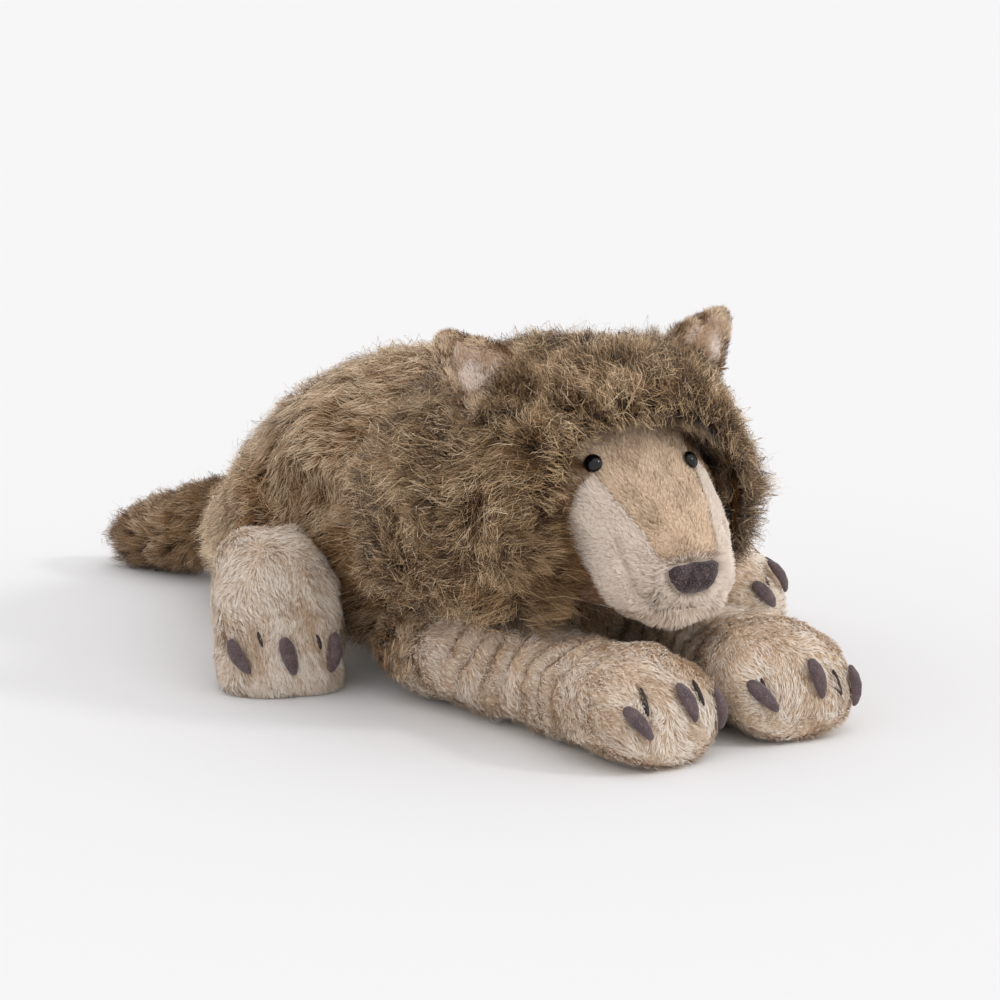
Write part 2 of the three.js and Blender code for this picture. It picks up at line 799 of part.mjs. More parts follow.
function buildLeftHindLeg() {
  const root = new THREE.Vector3(hindLeftHipX, hindLeftHipY, legAxisZ);
  const along = axisY.clone().negate().applyAxisAngle(axisZ, radians(hindLeftOutDeg));
  const form = legForm(root, along, hindLeftReach, hindPawHalfWidth, hindLeftHeight, hindLeftShares);
  const skin = (inset) => limbWithRoot(form, root, legRadius, inset);
  const opening = (inset) => bar(root, axisX.clone().negate(), legRadius - inset, legRadius + gap);
  const leg = buildLimb('hind_leg_left', skin, opening, colours.leg);
  const centre = root.clone().addScaledVector(along, hindLeftReach - hindLeftClaws.backFromTip);
  buildClaws(leg, 'hind_left', centre, along, hindLeftClaws, skin);
  return leg;
}

const hindToes = axisY.clone().negate().applyAxisAngle(axisZ, -radians(hindToeOutDeg));

// The folded leg is a stack of level rings that leans as it rises
function foldedLegSkin(inset) {
  const side = new THREE.Vector3(hindToes.y, -hindToes.x, 0);
  const sides = inset > turnGap ? coreSides : limbSides;
  const middle = (z, lean, forwards) => new THREE.Vector3(-hindRightX, hindRightY, z)
    .addScaledVector(side, lean).addScaledVector(hindToes, forwards * hindRightFoot);
  const levelRing = (z, lean, [width, front, back]) => {
    const depth = ((front + back) / 2) * hindRightFoot - inset;
    const centre = middle(z, lean, (front - back) / 2);
    return ring(centre, side, hindToes, width * hindPawHalfWidth - inset, depth, sides, hindRoundness);
  };
  const crown = hindRightTop - inset;
  const rings = hindRightShares.map(([up, ...reaches]) => (
    levelRing(up * crown, hindRightLean * up * up, reaches)
  ));
  const sole = levelRing(-restDepth, 0, hindRightSoleShares);
  const underSole = middle(-restDepth * 2, 0, 0);
  return loft([sole, ...rings], underSole, middle(crown, hindRightLean, hindRightCrownShare));
}

function buildRightHindLeg() {
  const hip = new THREE.Vector3(-hipPlaneX - gap / 2 - hipStub, hipY, hipZ);
  const bodySide = block([-hipPlaneX - gap / 2, -everywhere, -overrun], [everywhere, everywhere, everywhere]);
  const skin = (inset) => foldedLegSkin(inset)
    .add(bar(hip, axisX, hipRadius - inset, hipStub - inset))
    .subtract(bodySide);
  const opening = (inset) => bar(hip, axisX, hipRadius - inset, hipStub);
  const leg = buildLimb('hind_leg_right', skin, opening, colours.leg);
  const centre = new THREE.Vector3(-hindRightX, hindRightY, 0);
  buildClaws(leg, 'hind_right', centre, hindToes, hindRightClaws, foldedLegSkin);
  return leg;
}

function buildTail() {
  const along = axisY.clone().applyAxisAngle(axisZ, radians(tailTurnDeg));
  const form = {
    start: new THREE.Vector3(0, tailY, 0),
    along,
    reach: tailLength,
    halfWidth: tailRadius,
    low: tailZ,
    height: tailRadius,
    roundness: bodyRoundness,
    sides: limbSides,
    endShares: [0, 1],
    shares: [tailRootPoleShares, ...tailShares],
  };
  const skin = (inset) => limbWithRoot(form, tailRoot, tailRadius, inset, tailRootSides);
  const opening = (inset) => bar(tailRoot, axisY.clone().negate(), tailRadius - inset, tailRadius + gap);
  return buildLimb('tail', skin, opening, colours.back);
}

const toy = new THREE.Group();
toy.add(buildBody(), buildNeck(), buildHead());
for (const [side, name] of [[-1, 'right'], [1, 'left']]) {
  toy.add(buildEar(side, name), buildFrontLeg(side, name));
}
toy.add(buildLeftHindLeg(), buildRightHindLeg(), buildTail());

// The toy stands centred over its origin
const wolf = new THREE.Group();
wolf.add(toy);
wolf.updateMatrixWorld(true);
const extent = new THREE.Box3().setFromObject(wolf, true);
const centre = extent.getCenter(new THREE.Vector3());
toy.position.set(-centre.x, -centre.y, -extent.min.z);

export default wolf;
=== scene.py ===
"""Plush wolf: its pile, face, nose, eyes, ears, claws and stitches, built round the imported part."""

import json
import math
from functools import partial

import bmesh
import bpy
import numpy as np
from mathutils import Matrix, Vector
from mathutils.bvhtree import BVHTree
from mathutils.kdtree import KDTree

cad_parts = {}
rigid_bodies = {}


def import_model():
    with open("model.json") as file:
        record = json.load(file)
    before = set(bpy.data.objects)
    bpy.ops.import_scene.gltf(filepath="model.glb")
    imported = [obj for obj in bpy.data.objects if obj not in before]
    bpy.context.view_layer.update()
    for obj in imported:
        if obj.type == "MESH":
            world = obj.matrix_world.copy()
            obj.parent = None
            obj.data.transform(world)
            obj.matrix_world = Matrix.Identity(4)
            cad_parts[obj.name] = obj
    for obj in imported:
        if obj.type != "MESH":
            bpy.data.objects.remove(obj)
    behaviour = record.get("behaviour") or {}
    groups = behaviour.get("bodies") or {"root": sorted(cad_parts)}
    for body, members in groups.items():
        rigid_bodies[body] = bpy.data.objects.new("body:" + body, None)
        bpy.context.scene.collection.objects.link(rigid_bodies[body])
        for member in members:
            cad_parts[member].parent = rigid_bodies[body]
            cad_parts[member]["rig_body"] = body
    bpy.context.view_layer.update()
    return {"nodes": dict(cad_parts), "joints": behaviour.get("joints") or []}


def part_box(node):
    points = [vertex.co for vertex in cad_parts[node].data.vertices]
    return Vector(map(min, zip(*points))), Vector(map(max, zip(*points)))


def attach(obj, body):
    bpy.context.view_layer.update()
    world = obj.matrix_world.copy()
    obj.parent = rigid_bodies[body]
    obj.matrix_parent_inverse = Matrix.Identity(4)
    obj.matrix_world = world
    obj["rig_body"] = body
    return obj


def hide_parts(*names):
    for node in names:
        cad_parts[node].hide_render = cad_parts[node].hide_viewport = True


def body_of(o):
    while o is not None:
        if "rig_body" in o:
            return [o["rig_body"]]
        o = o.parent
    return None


bl_info = {
    "name": "Plush wolf",
    "version": (1, 0, 0),
    "blender": (4, 5, 0),
    "location": "View3D > Sidebar > Plush wolf",
    "description": "Builds the pile, face, ears, paws and claws of a plush wolf round its packed part",
    "category": "Object",
}

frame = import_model()

MM = 0.001
MERGE = 0.01 * MM
PILE_MAP = "OFBake"

# How much a fibre is lit like the skin below it, and not as a flat ribbon
SKIN_SHADING = 0.7

# Share of the fibres that stand out of their tufts
STRAYS = 0.02

# Where a fibre's cross lines are along it, and how wide it is there, by their number
FIBRE_STEPS = {3: (0, 0.5, 1), 4: (0, 0.32, 0.67, 1)}
FIBRE_WIDTHS = {3: (1, 0.75, 0), 4: (1, 0.85, 0.6, 0)}

# The lowest that a fibre and a leg's skin may come, and how far off a skin the search for others starts
FIBRE_FLOOR = 0.4 * MM
SKIN_FLOOR = 0.8 * MM
SEARCH_START = 1.2 * MM

# Heights of the middles of the hood and of the neck
HOOD_HEIGHT = 0.175
NECK_HEIGHT = 0.135

# Size of a backing's mottling and depth of its relief: below long pile, on the legs and on the face
LONG_KNIT = (12 * MM, 1 * MM)
LEG_KNIT = (7 * MM, 0.8 * MM)
FACE_KNIT = (8 * MM, 0.6 * MM)

# The way an eye looks on the wolf's left, which is also where the glint comes from
EYE_WAY = (0.5, -0.66, 0.56)
EYE_RISE = 5.4 * MM
SHANK_RADIUS = 2 * MM
SHANK_LENGTH = 16 * MM

# The bodies and slots of the pieces of pile
BACK_FUR = ("body", "long_pile_back")
MANE_FUR = ("head", "long_pile_mane")

FRONT_LEGS = ("front_leg_right", "front_leg_left")
HIND_LEGS = ("hind_leg_right", "hind_leg_left")
SIDES = ("right", "left")
TOES = ("inner", "middle", "outer")

# Every skin that a pile can't grow through, by the body that carries it
carried = {}


def size_of(name, description, millimetres):
    return bpy.props.FloatProperty(
        name=name,
        description=description,
        default=millimetres * MM,
        min=0.0,
        subtype="DISTANCE",
        unit="LENGTH",
    )


def share_of(name, description, value):
    return bpy.props.FloatProperty(
        name=name, description=description, default=value, min=0.0, max=1.0, subtype="FACTOR"
    )


def angle_of(name, description, degrees):
    return bpy.props.FloatProperty(
        name=name,
        description=description,
        default=math.radians(degrees),
        subtype="ANGLE",
        unit="ROTATION",
    )


def linear(colour):
    """A sRGB hex colour as linear light."""
    parts = [int(colour[i : i + 2], 16) / 255 for i in (1, 3, 5)]
    return tuple(c / 12.92 if c <= 0.04045 else ((c + 0.055) / 1.055) ** 2.4 for c in parts)


def colour_of(name, description, colour):
    return bpy.props.FloatVectorProperty(
        name=name,
        description=description,
        default=linear(colour),
        size=3,
        min=0.0,
        max=1.0,
        subtype="COLOR",
    )


class BackPile(bpy.types.PropertyGroup):
    length: size_of("Length", "Length of the pile on the back", 25)
    width: size_of("Width", "Width of one drawn fibre", 0.6)
    tuft: size_of("Tuft", "Distance from one tuft to the next", 12)
    lean: angle_of("Lean", "Angle between the pile and the backing", 26)
    gather: share_of("Gather", "How far a tuft's fibres meet at its tip", 0.7)
    roots: colour_of("Roots", "Colour at the roots of a dark fibre", "#21140a")
    shade: colour_of("Shade", "Colour at the tip of a dark fibre", "#a57a4c")
    body: colour_of("Body", "Colour at the roots of a pale fibre", "#956f47")
    tips: colour_of("Tips", "Colour at the tip of a pale fibre", "#ffe7c5")


class ManePile(bpy.types.PropertyGroup):
    length: size_of("Length", "Length of the pile of the mane", 31)
    width: size_of("Width", "Width of one drawn fibre", 0.6)
    tuft: size_of("Tuft", "Distance from one tuft to the next", 12)
    lean: angle_of("Lean", "Angle between the pile and the backing", 26)
    gather: share_of("Gather", "How far a tuft's fibres meet at its tip", 0.68)
    roots: colour_of("Roots", "Colour at the roots of a dark fibre", "#1b120a")
    shade: colour_of("Shade", "Colour at the tip of a dark fibre", "#704e2a")
    body: colour_of("Body", "Colour at the roots of a pale fibre", "#54381c")
    tips: colour_of("Tips", "Colour at the tip of a pale fibre", "#fbd7a8")


class LegPile(bpy.types.PropertyGroup):
    length: size_of("Length", "Length of the pile on the legs", 8)
    width: size_of("Width", "Width of one drawn fibre", 0.67)
    tuft: size_of("Tuft", "Distance from one tuft to the next", 5)
    lean: angle_of("Lean", "Angle between the pile and the backing", 24)
    gather: share_of("Gather", "How far a tuft's fibres meet at its tip", 0.4)
    roots: colour_of("Roots", "Colour at the roots of a dark fibre", "#b99a7c")
    shade: colour_of("Shade", "Colour at the tip of a dark fibre", "#dec4a8")
    body: colour_of("Body", "Colour at the roots of a pale fibre", "#ecd7bd")
    tips: colour_of("Tips", "Colour at the tip of a pale fibre", "#fff6ea")


class FacePile(bpy.types.PropertyGroup):
    length: size_of("Length", "Length of the pile on the face", 6)
    width: size_of("Width", "Width of one drawn fibre", 0.6)
    tuft: size_of("Tuft", "Distance from one tuft to the next", 4)
    lean: angle_of("Lean", "Angle between the pile and the backing", 24)
    gather: share_of("Gather", "How far a tuft's fibres meet at its tip", 0.35)
    tan_roots: colour_of("Tan roots", "Colour at the roots of the tan bridge", "#d2b08c")
    tan_tips: colour_of("Tan tips", "Colour at the tips of the tan bridge", "#ffe9cd")
    brown_roots: colour_of("Brown roots", "Colour at the roots of the cheeks", "#4b321d")
    brown_tips: colour_of("Brown tips", "Colour at the tips of the cheeks", "#966b42")
    cream_roots: colour_of("Cream roots", "Colour at the roots of the muzzle", "#d9c4ae")
    cream_tips: colour_of("Cream tips", "Colour at the tips of the muzzle", "#fff2e4")


class Trim(bpy.types.PropertyGroup):
    suede: colour_of("Suede", "Colour of the claws", "#5a4c4e")
    nose: colour_of("Nose", "Colour of the nose", "#2c2123")
    fuzz: colour_of("Fuzz", "Colour of the nap on the suede", "#93807f")
    # The thread's dark colour is partly painted shade of the toe creases
    thread: colour_of("Thread", "Colour of the thread between the toes", "#2b2220")
    eye: colour_of("Eye", "Colour of the eyes", "#0c0a0a")
    eye_size: size_of("Eye size", "Width of an eye's dome", 15)
    slot_depth: size_of("Slot depth", "How deep the thread draws a toe in", 4.5)
    slot_width: size_of("Slot width", "How wide the crease between two toes is", 7)
    gather_depth: size_of("Gather depth", "Depth of the gathers on the front legs", 7)
    gather_pitch: size_of("Gather pitch", "Distance from one gather to the next", 23)


def amount_of(name, description, value):
    return bpy.props.FloatProperty(name=name, description=description, default=value, min=0.0)


class Studio(bpy.types.PropertyGroup):
    backdrop: colour_of("Backdrop", "Colour of the floor and the backdrop", "#f5f5f5")
    ambient: amount_of("Ambient", "Light from all round", 0.85)
    lamp: amount_of("Lamp", "Light of the soft lamp", 0.3)
    glint: amount_of("Glint", "Light of the small lamp that glints in the eyes", 0.55)


def node(tree, kind, inputs=None, **options):
    """Adds a node with its options. An input is a value or another node's output."""
    made = tree.nodes.new(kind)
    for name, value in options.items():
        setattr(made, name, value)
    for name, value in (inputs or {}).items():
        socket = made.inputs[name]
        if isinstance(value, bpy.types.NodeSocket):
            tree.links.new(value, socket)
        else:
            socket.default_value = value
    return made


def new_material(name):
    """A material and its tree, both empty."""
    material = bpy.data.materials.new(name)
    material.use_nodes = True
    material.node_tree.nodes.clear()
    return material, material.node_tree


def finished(material, inputs):
    """The material, ended with a surface of the given inputs."""
    tree = material.node_tree
    shader = node(tree, "ShaderNodeBsdfPrincipled", inputs)
    node(tree, "ShaderNodeOutputMaterial", {"Surface": shader.outputs[0]})
    return material


def opaque(colour):
    return (*colour, 1.0)


def mixed(tree, factor, a, b):
    """The colour between a and b."""
    return node(tree, "ShaderNodeMix", {0: factor, 6: a, 7: b}, data_type="RGBA").outputs[2]


def grained(tree, place, size, detail, strength, depth, roughness=0.5):
    """Specks of a size as a pattern, and the relief that they give a surface."""
    inputs = {"Vector": place, "Scale": 1 / size, "Detail": detail, "Roughness": roughness}
    specks = node(tree, "ShaderNodeTexNoise", inputs).outputs[0]
    relief = node(tree, "ShaderNodeBump", {"Height": specks, "Strength": strength, "Distance": depth})
    return specks, relief.outputs[0]


def pile_material(name, roots, shade, body, tips, top=1.0, foot=0.0):
    """Plush pile of crimped polyester fibre, woven and cut. Its fibres are dark at the roots, up to foot, as
    painted shade where light hardly gets, and pale from top to the cut tips. Both are shares of their length.
    Each drawn fibre has its tone across the map and its length up it."""
    material, tree = new_material(name)
    place = node(tree, "ShaderNodeUVMap", uv_map=PILE_MAP)
    split = node(tree, "ShaderNodeSeparateXYZ", {"Vector": place.outputs[0]})
    inputs = {"Value": split.outputs["Y"], "From Min": foot, "From Max": top}
    rise = node(tree, "ShaderNodeMapRange", inputs, interpolation_type="SMOOTHSTEP").outputs[0]
    dark = mixed(tree, rise, opaque(roots), opaque(shade))
    pale = mixed(tree, rise, opaque(body), opaque(tips))
    inputs = {
        "Base Color": mixed(tree, split.outputs["X"], dark, pale),
        "Roughness": 0.62,
        "Specular IOR Level": 0.2,
        "Sheen Weight": 0.12,
        "Sheen Roughness": 0.5,
    }
    return finished(material, inputs)


def backing_material(name, roots, tone, grain, bump):
    """Knitted polyester backing with the feet of the pile standing in it: dull, mottled, and painted as dark
    as the shade that shows between fibres. The mottling has the size of a tuft, and the bump the size of a
    fibre."""
    material, tree = new_material(name)
    place = node(tree, "ShaderNodeTexCoord").outputs["Object"]
    inputs = {"Vector": place, "Scale": 1 / grain, "Detail": 4.0, "Roughness": 0.6}
    mottle = node(tree, "ShaderNodeTexNoise", inputs)
    _, relief = grained(tree, place, 1.5 * MM, 3.0, 0.6, bump)
    inputs = {"Value": mottle.outputs[0], "From Min": 0.3, "From Max": 0.7}
    spread = node(tree, "ShaderNodeMapRange", inputs)
    inputs = {
        "Base Color": mixed(tree, spread.outputs[0], opaque(roots), opaque(tone)),
        "Roughness": 0.95,
        "Specular IOR Level": 0.1,
        "Normal": relief,
    }
    return finished(material, inputs)


def suede_material(name, colour, fuzz):
    """Imitation suede: microfibre cloth brushed to a nap. Dull, with pale specks where fibres stand, drawn
    at several times their real size so that they show."""
    material, tree = new_material(name)
    place = node(tree, "ShaderNodeTexCoord").outputs["Object"]
    specks, relief = grained(tree, place, 1.4 * MM, 3.0, 0.9, 0.8 * MM, roughness=0.7)
    inputs = {"Vector": place, "Scale": 1 / (9 * MM), "Detail": 2.0}
    brushing = node(tree, "ShaderNodeTexNoise", inputs)
    inputs = {"Value": specks, "From Min": 0.52, "From Max": 0.68, "To Max": 0.6}
    amount = node(tree, "ShaderNodeMapRange", inputs)
    inputs = {"Value": brushing.outputs[0], "From Min": 0.35, "From Max": 0.75, "To Max": 0.3}
    brushed = node(tree, "ShaderNodeMapRange", inputs)
    base = mixed(tree, brushed.outputs[0], opaque(colour), opaque(fuzz))
    inputs = {
        "Base Color": mixed(tree, amount.outputs[0], base, opaque(fuzz)),
        "Roughness": 0.9,
        "Specular IOR Level": 0.15,
        "Sheen Weight": 0.35,
        "Sheen Roughness": 0.4,
        "Normal": relief,
    }
    return finished(material, inputs)


def eye_material(name, colour):
    """Polished black acrylic, moulded in one piece: a clear gloss with hardly a ripple."""
    material, tree = new_material(name)
    place = node(tree, "ShaderNodeTexCoord").outputs["Object"]
    _, relief = grained(tree, place, 6 * MM, 1.0, 0.1, 0.1 * MM)
    inputs = {"Base Color": opaque(colour), "Roughness": 0.05, "IOR": 1.45, "Normal": relief}
    return finished(material, inputs)


def thread_and_crease_shade_material(name, colour):
    """Waxed polyester thread, laid in rows: dark, partly as painted shade of the toe crease it fills, a
    little shiny, ribbed at half a millimetre.
    """
    material, tree = new_material(name)
    place = node(tree, "ShaderNodeTexCoord").outputs["Object"]
    twist, relief = grained(tree, place, 0.6 * MM, 2.0, 0.8, 0.3 * MM)
    tint = mixed(tree, twist, opaque(colour), opaque(tuple(c * 2.2 for c in colour)))
    return finished(material, {"Base Color": tint, "Roughness": 0.7, "Normal": relief})


def washer_material(name):
    """Moulded white plastic, out of sight inside the face: faintly mottled, with a matt skin."""
    material, tree = new_material(name)
    place = node(tree, "ShaderNodeTexCoord").outputs["Object"]
    mottle, relief = grained(tree, place, 4 * MM, 3.0, 0.5, 1 * MM)
    tint = mixed(tree, mottle, opaque(linear("#f2f1ee")), opaque(linear("#dedcd6")))
    return finished(material, {"Base Color": tint, "Roughness": 0.85, "Normal": relief})


def coordinates(mesh):
    places = np.empty(len(mesh.vertices) * 3, np.float32)
    mesh.vertices.foreach_get("co", places)
    return places.reshape(-1, 3).astype(float)


def normals_of(mesh):
    found = np.empty(len(mesh.vertices) * 3, np.float32)
    mesh.vertex_normals.foreach_get("vector", found)
    return found.reshape(-1, 3).astype(float)


def triangles_of(mesh):
    """The corners of each of a mesh's triangles."""
    mesh.calc_loop_triangles()
    corners = np.empty(len(mesh.loop_triangles) * 3, np.int32)
    mesh.loop_triangles.foreach_get("vertices", corners)
    return corners.reshape(-1, 3)


def set_coordinates(mesh, places):
    mesh.vertices.foreach_set("co", places.astype(np.float32).ravel())
    mesh.update()


def unit(vectors):
    return vectors / np.maximum(np.linalg.norm(vectors, axis=-1, keepdims=True), 1e-9)


def along(vectors, normals):
    """How far each vector goes along its normal."""
    return (vectors * normals).sum(1)


def middle_of(name, height):
    """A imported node's middle across its width, at a height."""
    low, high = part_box(name)
    return np.array([(low.x + high.x) / 2, 0, height])


def outwards(places, middle):
    """The way from each place away from a line along the body through the middle."""
    return unit((places - middle) * (1, 0, 1))


def add_object(name, mesh, material):
    made = bpy.data.objects.new(name, mesh)
    bpy.context.scene.collection.objects.link(made)
    mesh.materials.append(material)
    return made


def smooth_object(name, form, material):
    """A smoothly shaded object from a form that is done."""
    mesh = bpy.data.meshes.new(name)
    form.to_mesh(mesh)
    form.free()
    mesh.shade_smooth()
    return add_object(name, mesh, material)


def settle(piece):
    """Makes a piece's modifiers part of its mesh."""
    shown = piece.evaluated_get(bpy.context.evaluated_depsgraph_get())
    mesh = bpy.data.meshes.new_from_object(shown)
    piece.modifiers.clear()
    old, piece.data = piece.data, mesh
    bpy.data.meshes.remove(old)
    mesh.name = piece.name


def merged_copy(nodes):
    """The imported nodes' meshes in one, with their loose triangles joined."""
    form = bmesh.new()
    for name in nodes:
        form.from_mesh(frame["nodes"][name].data)
    bmesh.ops.remove_doubles(form, verts=form.verts, dist=MERGE)
    return form


def soft_form(name, nodes, material, voxel, inset, rounds=12, body=None, core=None):
    """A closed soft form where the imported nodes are: their facets are rounded off, and the surface is drawn
    in by inset, which the pile then fills. A piece sewn to others round a core is drawn in towards the core,
    so that its seams stay closed."""
    form = merged_copy(nodes)
    mesh = bpy.data.meshes.new(name)
    form.to_mesh(mesh)
    form.free()
    piece = add_object(name, mesh, material)
    remesh = piece.modifiers.new("Voxels", "REMESH")
    remesh.mode, remesh.voxel_size = "VOXEL", voxel
    smooth = piece.modifiers.new("Rounding", "SMOOTH")
    smooth.factor, smooth.iterations = 0.5, rounds
    settle(piece)
    drop_specks(piece.data)
    mesh = piece.data
    places, normals = coordinates(mesh), normals_of(mesh)
    if core is None:
        set_coordinates(mesh, places - normals * inset)
    else:
        away = unit(places - core)
        facing = smooth_step(along(away, normals), 0.2, 0.7)
        set_coordinates(mesh, places - away * inset * facing[:, None])
    mesh.materials.clear()
    mesh.materials.append(material)
    mesh.shade_smooth()
    if body:
        carried.setdefault(body, []).append(piece)
    return piece


def drop_specks(mesh):
    """Deletes all but the largest connected part of a mesh."""
    form = bmesh.new()
    form.from_mesh(mesh)
    form.verts.ensure_lookup_table()
    left, parts = set(form.verts), []
    while left:
        part = {left.pop()}
        rim = list(part)
        while rim:
            vert = rim.pop()
            fresh = {e.other_vert(vert) for e in vert.link_edges} - part
            part |= fresh
            rim.extend(fresh)
        left -= part
        parts.append(part)
    parts.sort(key=len)
    for part in parts[:-1]:
        bmesh.ops.delete(form, geom=list(part), context="VERTS")
    if len(parts) > 1:
        form.to_mesh(mesh)
    form.free()


def tree_of(pieces):
    """One search tree over several meshes."""
    places, faces, start = [], [], 0
    for piece in pieces:
        places.append(coordinates(piece.data))
        faces.append(triangles_of(piece.data) + start)
        start += len(piece.data.vertices)
    return BVHTree.FromPolygons(
        np.concatenate(places).tolist(), np.concatenate(faces).tolist(), all_triangles=True
    )


def waves(points, size, seed, channels=1):
    """Smooth noise about -1 to 1 in as many channels, with hills about size across."""
    draw = np.random.default_rng(seed)
    total = np.zeros((len(points), channels))
    rounds = 7
    for _ in range(rounds):
        way = unit(draw.normal(size=(channels, 3)))
        pitch = draw.uniform(0.6, 1.6, channels) * math.tau / size / 2
        total += np.sin(points @ (way * pitch[:, None]).T + draw.uniform(0, math.tau, channels))
    return total / math.sqrt(rounds / 2) / 1.3


def crease(points, path, width):
    """How near each point is to a line through the path's points: 1 on it and 0 from width away."""
    path = np.array(path, float) * MM
    nearest = np.full(len(points), np.inf)
    for a, b in zip(path[:-1], path[1:]):
        share = np.clip((points - a) @ (b - a) / ((b - a) @ (b - a)), 0, 1)
        nearest = np.minimum(nearest, np.linalg.norm(points - a - share[:, None] * (b - a), axis=1))
    return smooth_step(1 - nearest / width, 0, 1)


def smooth_step(values, low, high):
    t = np.clip((values - low) / (high - low), 0, 1)
    return t * t * (3 - 2 * t)


def worked_out(given, places):
    """A setting that is one number or a function of the places."""
    return given(places) if callable(given) else given


class Roots:
    """Where the fibres stand on a skin, and its normals there. Fibres keep clear of other skins, and keep
    gives each part of the skin a share of them."""

    def __init__(self, skin, count, draw, clear=30 * MM, keep=None):
        corners = triangles_of(skin.data)
        places, normals = coordinates(skin.data), normals_of(skin.data)
        a, b, c = (places[corners[:, i]] for i in range(3))
        areas = np.linalg.norm(np.cross(b - a, c - a), axis=1) / 2
        middles = (a + b + c) / 3
        facing = unit(normals[corners].mean(1))
        body = body_of(skin)
        others = carried.get(body[0], []) if body else []
        walls = tree_of([skin, *(other for other in others if other != skin)])
        starts = middles + facing * SEARCH_START
        free = [
            walls.ray_cast(place, way, clear)[0] is None
            for place, way in zip(starts.tolist(), facing.tolist())
        ]
        weights = areas * np.array(free)
        if keep is not None:
            weights = weights * keep(middles, facing)
        picks = draw.choice(len(corners), count, p=weights / weights.sum())
        u, v = draw.random(count), draw.random(count)
        over = u + v > 1
        u[over], v[over] = 1 - u[over], 1 - v[over]
        shares = np.stack([1 - u - v, u, v], 1)[:, :, None]
        self.places = (places[corners[picks]] * shares).sum(1)
        self.normals = unit((normals[corners[picks]] * shares).sum(1))


def tufts_of(roots, spacing):
    """For each fibre, the index of the fibre at its tuft's middle."""
    # Fibres on opposite sides of a thin part go to tufts of their own
    keys = roots.places + roots.normals * spacing * 0.6
    cells = np.floor(keys / spacing).astype(np.int64)
    _, middles = np.unique(cells, axis=0, return_index=True)
    tree = KDTree(len(middles))
    for place, index in zip(keys[middles].tolist(), middles.tolist()):
        tree.insert(place, index)
    tree.balance()
    return np.array([tree.find(place)[1] for place in keys.tolist()])


